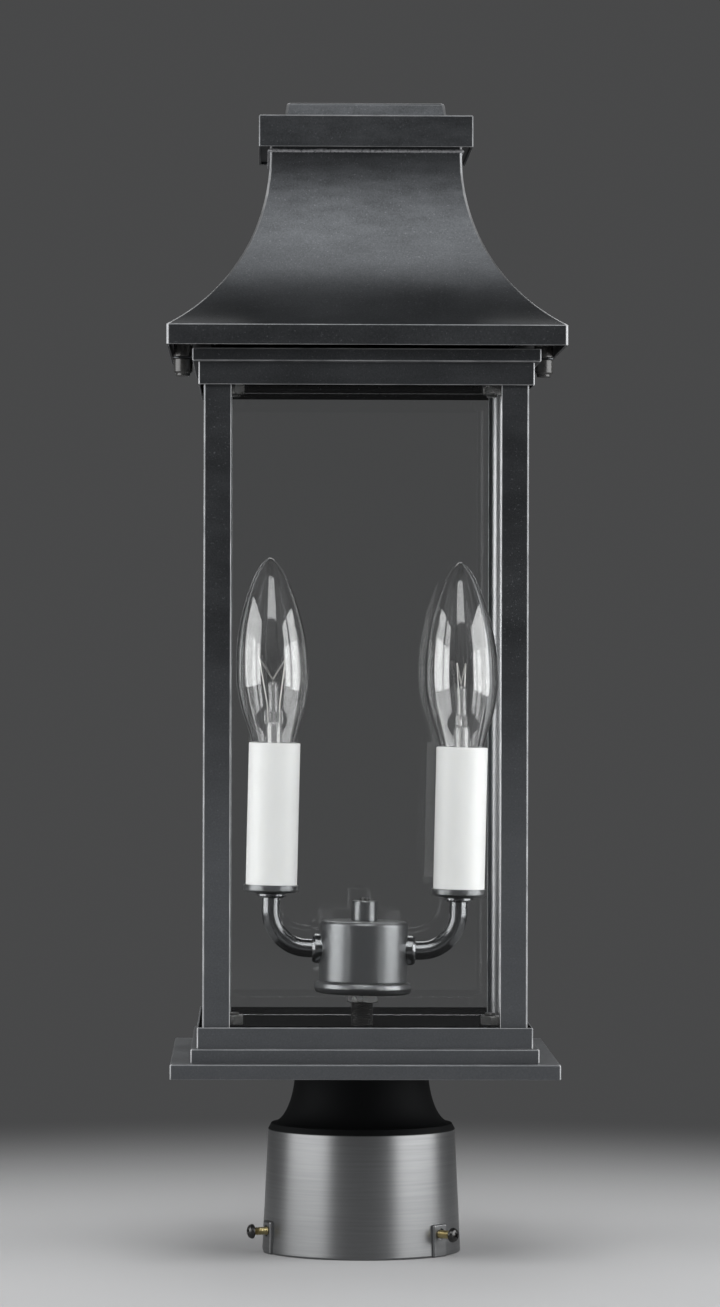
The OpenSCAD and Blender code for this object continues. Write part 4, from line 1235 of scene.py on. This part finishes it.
class LANTERN_OT_tray_fasteners(bpy.types.Operator):
    """Bolts and nuts that hold the floor and the ceiling"""

    bl_idname = "lantern.tray_fasteners"
    bl_label = "Tray Fasteners"

    def execute(self, context):
        dome = [(0, 2.8, 0), (1.6, 2.75, 0.3), (3.4, 2.1, 0.8), (4.75, 0.5, 0.4),
                (4.75, 0, 0.15), (0, 0, 0)]
        bolts, nuts = [], []
        for low, high, head in (
                (84.5, 102.1, [(r, 84.5 - z, soft) for r, z, soft in dome]),
                (366.0, FRAME_TOP,
                 [(r, FRAME_TOP + z, soft) for r, z, soft in reversed(dome)])):
            bolt = joined(threaded_bolt(2.5, low, high, 0.8), lathe(head, 40))
            bolts.append(repeated(bolt, TRAY_BOLT_X))
        for z in (96.9, 367.2):
            nut = nut_mesh(9.2, 4.7, 4.0, Matrix.Translation((0, 0, z * MM)))
            nuts.append(repeated(nut, TRAY_BOLT_X))
        place("tray_bolt_set", joined(*bolts), "black_steel", "lantern", "tray_bolts")
        place("tray_nut_set", joined(*nuts), "black_steel", "lantern", "tray_bolt_nuts")
        return {"FINISHED"}


class LANTERN_OT_thumb_nuts(bpy.types.Operator):
    """Studs under the roof and the thumb nuts that hold it down"""

    bl_idname = "lantern.thumb_nuts"
    bl_label = "Studs and Thumb Nuts"

    def execute(self, context):
        boss = lathe([(0, FRAME_TOP, 0), (4.05, FRAME_TOP, 0.35), (4.05, 388.6, 0.2),
                      (0, 388.6, 0)], 48, steps=3)
        pin = lathe([(0, 388, 0), (2, 388, 0), (2, 389.6, 0.2), (0, 389.6, 0)], 24, steps=2)
        studs = [repeated(mesh, STUD_X)
                 for mesh in (threaded_bolt(2, 377.3, 383.6, 0.7), boss, pin)]
        place("stud_set", joined(*studs), "thumb_steel", "roof", "roof_studs")
        for side, x in (("left", -STUD_X), ("right", STUD_X)):
            nut = lathe([
                (0, 374.8, 0), (3, 374.8, 0.5), (3, 376.1, 0.1), (3.35, 376.1, 0.1),
                (4.05, 376.8, 0.2), (4.05, 382.3, 0.3), (2.05, 382.3, 0.1),
                (2.05, 377.2, 0), (0, 377.2, 0)], 48, Matrix.Translation((x, 0, 0)), 3)
            node = "thumb_nut_" + side
            place(node + "_turned", nut, "thumb_steel", node, node)
        return {"FINISHED"}


class LANTERN_OT_hub(bpy.types.Operator):
    """Hub with its cover disc, finial and screw"""

    bl_idname = "lantern.hub"
    bl_label = "Hub"

    def execute(self, context):
        lean = lean_matrix()
        for name, node, material, sides, steps, points in (
                ("hub_cover_disc", "hub_cover", "lamp_paint", 96, 6, [
                    (NIPPLE_BORE, 110.3, 0), (18.6, 110.3, 0.4), (20.4, 110.9, 1.2),
                    (21, 112.95, 2), (20.4, 115.0, 1.2), (18.6, HUB_FOOT, 0.4),
                    (NIPPLE_BORE, HUB_FOOT, 0)]),
                ("hub_can", "hub_body", "lamp_paint", 96, 6, [
                    (18.9, HUB_FOOT, 0.3), (18.9, HUB_TOP, 1.8), (NIPPLE_BORE, HUB_TOP, 0.2),
                    (NIPPLE_BORE, 140, 0), (17.4, 140, 1), (17.4, HUB_FOOT, 0)]),
                ("hub_finial_turned", "hub_finial", "lamp_paint", 48, 4, [
                    (5.6, HUB_TOP, 0.2), (5.6, 150.1, 0.6), (2.05, 150.1, 0.2),
                    (2.05, 148.2, 0), (4.9, 148.2, 0), (4.9, HUB_TOP, 0)]),
                ("hub_finial_screw", "finial_screw", "black_steel", 32, 4, [
                    (0, 148.3, 0), (2, 148.3, 0), (2, 151.4, 0.35), (1.1, 151.4, 0.2),
                    (0.9, 150.6, 0), (0, 150.5, 0)])):
            place(name, lathe(points, sides, lean, steps), material, "lantern", node)
        return {"FINISHED"}


class LANTERN_OT_nipple(bpy.types.Operator):
    """Threaded nipple and its three nuts"""

    bl_idname = "lantern.nipple"
    bl_label = "Nipple"

    def execute(self, context):
        lean = lean_matrix()
        radius, low, high = 4.85, 74.8, 148.1
        mesh = threaded(shank(radius, low, high, 0.4, 0.1175, bore=2.45), 32,
                        "thread_steel", radius=radius, pitch=0.94, depth=0.45, low=low,
                        high=high)
        mesh.transform(lean)
        place("threaded_nipple", mesh, "thread_steel", "lantern", "stem_nipple")
        nuts = [nut_mesh(15, 9.2, 3.8, lean @ Matrix.Translation((0, 0, z * MM)))
                for z in (77.0, 85.8, 106.5)]
        place("nipple_nut_set", joined(*nuts), "black_steel", "lantern", "nipple_nuts")
        return {"FINISHED"}


class LANTERN_OT_arms(bpy.types.Operator):
    """Bent arms with their collars, lock rings and cups"""

    bl_idname = "lantern.arms"
    bl_label = "Arms and Cups"

    def execute(self, context):
        lamp = context.scene.lantern_lamp
        collars, rings = [], []
        for side, turn in (("left", Matrix.Rotation(math.pi, 4, "Z")),
                           ("right", Matrix.Identity(4))):
            stand = lean_matrix() @ turn
            route = [(11.5 * MM, 0, lamp.arm_z), (lamp.candle_x, 0, lamp.arm_z),
                     (lamp.candle_x, 0, lamp.sleeve_z + 11 * MM)]
            mesh = grow(line_mesh(route), "tube", "arm_paint", radius=lamp.arm_radius,
                        bend=lamp.arm_bend, sides=40)
            mesh.transform(stand)
            place("arm_tube_" + side, mesh, "arm_paint", "lantern", "arm_" + side)
            along = stand @ Matrix.Translation((0, 0, lamp.arm_z)) @ Matrix.Rotation(
                QUARTER, 4, "Y")
            up = stand @ Matrix.Translation((lamp.candle_x, 0, 0))
            collars.append(lathe([
                (ARM_BORE, 17.4, 0), (6.4, 17.4, 0.2), (6.4, 20.9, 0.5), (5.6, 22.1, 0.4),
                (ARM_BORE, 22.1, 0.1)], 48, along))
            rings.append(lathe([
                (ARM_BORE, 150.5, 0), (5.9, 150.5, 0.4), (6.4, 151.2, 0.4), (6.4, 152.2, 0.3),
                (5.8, CUP_FOOT, 0.1), (ARM_BORE, CUP_FOOT, 0)], 48, up))
            cup = lathe([
                (ARM_BORE, CUP_FOOT, 0), (10.9, CUP_FOOT, 0.9), (11.75, 153.6, 0.9),
                (11.75, 156.1, 0.22), (11.25, 156.1, 0.22), (11.25, CUP_FLOOR, 0.3),
                (ARM_BORE, CUP_FLOOR, 0)], 72, up, 5)
            place("candle_cup_" + side, cup, "cup_paint", "lantern", "cup_" + side)
        place("arm_collar_set", joined(*collars), "arm_paint", "lantern", "arm_collars")
        place("cup_ring_set", joined(*rings), "arm_paint", "lantern", "arm_lock_rings")
        dress("zinc", "arm_inner_nuts", "socket_feet")
        dress("phenolic", "socket_bodies")
        dress("brass", "socket_shells", "socket_contacts")
        dress("wire_jacket", "lead_wires")
        dress("connector", "wire_connectors")
        return {"FINISHED"}


class LANTERN_OT_sleeves(bpy.types.Operator):
    """Two white candle sleeves"""

    bl_idname = "lantern.sleeves"
    bl_label = "Candle Sleeves"

    def execute(self, context):
        lamp = context.scene.lantern_lamp
        low, high = lamp.sleeve_z / MM, lamp.sleeve_top / MM
        for side, way in (("left", -1), ("right", 1)):
            mesh = lathe([
                (9.9, low, 0.15), (11, low, 0.2), (11, high, 0.4), (9.9, high, 0.3)], 96,
                lean_matrix() @ Matrix.Translation((way * lamp.candle_x, 0, 0)))
            place("sleeve_" + side, mesh, "sleeve_white", "lantern",
                  "candle_sleeve_" + side)
        return {"FINISHED"}


# Outline of a bulb: shares of its height above the sleeve, and of its radius
BULB_OUTLINE_SHARES = [
    (0, 0.605), (0.07, 0.70), (0.19, 0.885), (0.32, 0.995), (0.43, 0.995), (0.54, 0.955),
    (0.65, 0.86), (0.76, 0.71), (0.87, 0.51), (0.94, 0.335), (0.98, 0.18)]


def bulb_curve(steps=6):
    """Smooth curve through the bulb's outline, as (height share, radius share)."""
    points = [Vector(p) for p in BULB_OUTLINE_SHARES]
    points = [points[0], *points, points[-1]]
    made = []
    for a, b, c, d in zip(points, points[1:], points[2:], points[3:]):
        for t in [k / steps for k in range(steps)]:
            made.append((2 * b + (c - a) * t + (2 * a - 5 * b + 4 * c - d) * t * t
                         + (3 * b - a - 3 * c + d) * t ** 3) / 2)
    return made + [Vector((0.991, 0.12)), Vector((0.997, 0.07))]


class LANTERN_OT_bulbs(bpy.types.Operator):
    """Two clear candelabra bulbs with their bases, stems and filaments"""

    bl_idname = "lantern.bulbs"
    bl_label = "Bulbs"

    def execute(self, context):
        lamp = context.scene.lantern_lamp
        for side, way, tilt, spin in (("left", -1, lamp.left_tilt, 0),
                                      ("right", 1, lamp.right_tilt, 68)):
            stand = lean_matrix() @ Matrix.Translation((way * lamp.candle_x, 0, 0))
            tilt = math.tan(tilt)
            spin = Matrix.Rotation(math.radians(spin), 4, "Z")
            body = "bulb_" + side
            for name, mesh, material, nodes, angle in (
                    ("bulb_envelope_", self.envelope(lamp), "bulb_glass",
                     ["bulb_glass_" + side], 80),
                    ("bulb_stem_", self.stem(lamp), "stem_glass",
                     ["bulb_mount_" + side], 60),
                    ("bulb_filament_", self.filament(lamp), "tungsten", [], 35)):
                if material != "bulb_glass":
                    mesh.transform(spin)
                self.lean_over(mesh, tilt, lamp.sleeve_top - 4 * MM)
                mesh.transform(stand)
                place(name + side, mesh, material, body, *nodes, angle=angle,
                      weighted=False)
            self.base(side, body, stand)
        return {"FINISHED"}

    def lean_over(self, mesh, tilt, start):
        """Leans what stands above a height to one side."""
        for vertex in mesh.vertices:
            vertex.co.x += tilt * max(0, vertex.co.z - start)

    def envelope(self, lamp):
        neck, foot, skirt = mm(5.2, 194.9, 209.4)
        curve = bulb_curve()

        def wall(inset):
            height = lamp.bulb_height - inset
            return [(neck - inset, foot), (neck - inset, skirt)] + [
                (r * lamp.bulb_radius - inset, lamp.sleeve_top + h * height)
                for h, r in curve if r * lamp.bulb_radius > inset * 1.4
            ] + [(0, lamp.sleeve_top + height)]

        return turned(wall(0) + wall(lamp.bulb_wall)[::-1], 96)

    def stem(self, lamp):
        """Glass stem with its press."""
        t = lamp.sleeve_top / MM
        flare = lathe([
            (3.3, t - 21.4, 0), (4.1, t - 21.4, 0.4), (4.1, t - 16, 2), (3.5, t - 6, 5),
            (3.6, t + 7, 1.5), (3.1, t + 9, 0.5), (2.5, t + 9, 0.5), (3.0, t + 6, 1.5),
            (2.9, t - 6, 4), (3.4, t - 16, 1.5)], 40)
        press = box_mesh(mm(-4.05, -1.5, t + 8.2), mm(4.05, 1.5, t + 14), 0.6 * MM, 3)
        rod = lathe([
            (0, t + 13, 0), (2.3, t + 13, 0.6), (1.85, t + 19, 5), (2.1, t + 25, 0.6),
            (1.5, t + 26.2, 0.5), (0, t + 26.2, 0)], 32)
        return joined(flare, press, rod)

    def filament(self, lamp):
        """Lead wires, the middle support and the coil between their tips."""
        top = lamp.sleeve_top
        wires, tips = [], []
        for way in (-1, 1):
            route = [(way * x * MM, 0, top + z * MM) for x, z in (
                (1.6, -14), (2.4, 9), (2.7, 17), (4.4, 28), (5.5, 36))]
            tips.append(route[-1])
            wires.append(grow(line_mesh(route), "tube", "tungsten", radius=0.26 * MM,
                              bend=3 * MM, sides=8))
        middle = (0, 0.2 * MM, top + 27.2 * MM)
        wires.append(grow(line_mesh([(0, 0, top + 25 * MM), middle]), "tube", "tungsten",
                          radius=0.15 * MM, bend=0.5 * MM, sides=6))
        wires.append(grow(line_mesh([tips[0], middle, tips[1]]), "coil", "tungsten",
                          coil_radius=lamp.filament_radius, wire_radius=0.07 * MM,
                          pitch=0.36 * MM))
        return joined(*wires)

    def base(self, side, body, stand):
        """Screw base: rolled thread, skirt, insulator and solder tip."""
        radius = 5.85
        shell = threaded([
            (5.3, 194.6), (5.0, 194.2), (radius - 0.5, 194.0),
            *rows(radius, 194.5, 207.6, 0.2), (6.1, 208.0), (6.3, 208.3), (6.3, 209.2),
            (6.1, 209.4), (5.3, 209.4)], 48, "brass", radius=radius, pitch=2.1,
            depth=0.55, low=194.8, high=207.2)
        shell.transform(stand)
        place("bulb_screw_base_" + side, shell, "brass", body, "bulb_base_" + side,
              weighted=False, angle=60)
        bead = lathe([(0, 192.4, 0), (3, 192.4, 0.3), (5.2, 194.1, 0.4), (5.2, 194.6, 0),
                      (0, 194.6, 0)], 40, stand, 3)
        place("bulb_insulator_" + side, bead, "base_glass", body)
        tip = lathe([(0, 191.2, 0), (1.5, 191.35, 0.6), (2.2, 192.2, 0.3), (2.2, 192.5, 0),
                     (0, 192.5, 0)], 32, stand)
        place("bulb_tip_" + side, tip, "solder", body)


# Stage and add-on --------------------------------------------------------------------------

class LANTERN_OT_stage(bpy.types.Operator):
    """Floor, backdrop, lamps and camera"""

    bl_idname = "lantern.stage"
    bl_label = "Stage"

    def execute(self, context):
        scene, stage = context.scene, context.scene.lantern_stage
        self.floor(scene, stage)
        self.world(scene, stage)
        for name, power, width, height, place_at, aim_z in (
                ("side_left", 7.5, 1.13, 0.7, (-0.92, -0.335, 0.39), 0.3),
                ("side_right", 8.9, 1.13, 0.7, (0.92, -0.335, 0.39), 0.3),
                ("front_top", 17, 1.2, 1.75, (0.0, -1.17, 1.8), 0.38),
                ("back_top", 8, 1.4, 0.9, (0.0, 1.4, 1.5), 0.25)):
            data = bpy.data.lights.new(name, "AREA")
            data.shape = "RECTANGLE"
            data.size, data.size_y, data.energy = width, height, power
            lamp = bpy.data.objects.new(name, data)
            lamp.location = place_at
            lamp.rotation_euler = (Vector((0, 0, aim_z)) - Vector(place_at)).to_track_quat(
                "-Z", "Y").to_euler()
            lamp.visible_camera = False
            scene.collection.objects.link(lamp)
        self.camera(scene, stage)
        scene.view_settings.view_transform = "Standard"
        return {"FINISHED"}

    def floor(self, scene, stage):
        """Plain floor that fades into the backdrop away from the lantern."""
        form = bmesh.new()
        bmesh.ops.create_circle(form, cap_ends=True, segments=96, radius=14)
        mesh = bpy.data.meshes.new("studio_floor")
        form.to_mesh(mesh)
        form.free()
        f = Finish("studio_floor", stage.floor, 0.7, Specular_IOR_Level=0.2)
        f.give(Base_Color=f.mix(f.span(f.noise(3.0)), stage.floor,
                                lighter(stage.floor, 1.03)))
        narrow = f.vector_math("MULTIPLY", f.place, (2.4, 1, 1))[0]
        away = f.vector_math("DISTANCE", narrow, (0, -1.9, 0))["Value"]
        fade = f.span(away, start=2.02, end=2.6, interpolation_type="SMOOTHSTEP")
        seen, path = f.seen_rays()
        share = f.math("MAXIMUM", fade * seen, Value(f, path["Is Glossy Ray"]) * 0.6)
        f.cover(share, f.add("ShaderNodeEmission", {"Color": (*stage.backdrop, 1)})[0])
        mesh.materials.append(f.material)
        floor = bpy.data.objects.new("studio_floor", mesh)
        scene.collection.objects.link(floor)

    def world(self, scene, stage):
        """Soft light all round, with the plain backdrop where it is seen."""
        scene.world = bpy.data.worlds.new("studio")
        scene.world.use_nodes = True
        graph = Graph(scene.world.node_tree)
        graph.nodes.clear()
        lit = graph.add("ShaderNodeBackground",
                        {"Color": (1, 1, 1, 1), "Strength": stage.ambient})[0]
        plain = graph.add("ShaderNodeBackground", {"Color": (*stage.backdrop, 1)})[0]
        mixed = graph.add("ShaderNodeMixShader",
                          {0: graph.seen_rays()[0], 1: lit, 2: plain})[0]
        graph.set(graph.nodes.new("ShaderNodeOutputWorld").inputs["Surface"], mixed)

    def camera(self, scene, stage):
        data = bpy.data.cameras.new("camera")
        data.sensor_width, data.lens, data.shift_y = 36, stage.lens, 0.0019
        data.clip_start, data.clip_end = 0.05, 60
        camera = bpy.data.objects.new("camera", data)
        yaw = -math.atan2(stage.side_step, stage.distance) + 0.0005
        camera.matrix_world = (
            Matrix.Translation((-stage.side_step, -stage.distance, stage.eye_height))
            @ Matrix.Rotation(yaw, 4, "Z") @ Matrix.Rotation(QUARTER, 4, "X")
            @ Matrix.Rotation(stage.roll, 4, "Z"))
        scene.collection.objects.link(camera)
        scene.camera = camera


OPERATORS = (
    LANTERN_OT_stage, LANTERN_OT_roof, LANTERN_OT_weld_bead, LANTERN_OT_cap,
    LANTERN_OT_trays, LANTERN_OT_posts, LANTERN_OT_panes, LANTERN_OT_fitter,
    LANTERN_OT_set_screws, LANTERN_OT_tray_fasteners, LANTERN_OT_thumb_nuts,
    LANTERN_OT_hub, LANTERN_OT_nipple, LANTERN_OT_arms, LANTERN_OT_sleeves,
    LANTERN_OT_bulbs,
)
SETTINGS = {"lantern_sheet": LanternSheetSizes, "lantern_lamp": LanternLampSizes,
            "lantern_finish": LanternFinish, "lantern_stage": LanternStage}


class LANTERN_PT_pieces(bpy.types.Panel):
    """Sizes, colours and pieces of the lantern"""

    bl_label = "Post Top Lantern"
    bl_idname = "LANTERN_PT_pieces"
    bl_space_type = "VIEW_3D"
    bl_region_type = "UI"
    bl_category = "Lantern"

    def draw(self, context):
        layout = self.layout
        for key, group in SETTINGS.items():
            column = layout.box().column()
            for name in group.__annotations__:
                column.prop(getattr(context.scene, key), name)
        for operator in OPERATORS:
            layout.operator(operator.bl_idname)


def register():
    for item in (*SETTINGS.values(), *OPERATORS, LANTERN_PT_pieces):
        bpy.utils.register_class(item)
    for key, group in SETTINGS.items():
        setattr(bpy.types.Scene, key, PointerProperty(type=group))


def unregister():
    for key in SETTINGS:
        delattr(bpy.types.Scene, key)
    for item in (LANTERN_PT_pieces, *reversed(OPERATORS), *reversed(SETTINGS.values())):
        bpy.utils.unregister_class(item)


def main():
    register()
    for operator in OPERATORS:
        group, name = operator.bl_idname.split(".")
        getattr(getattr(bpy.ops, group), name)()


if __name__ == "__main__":
    main()
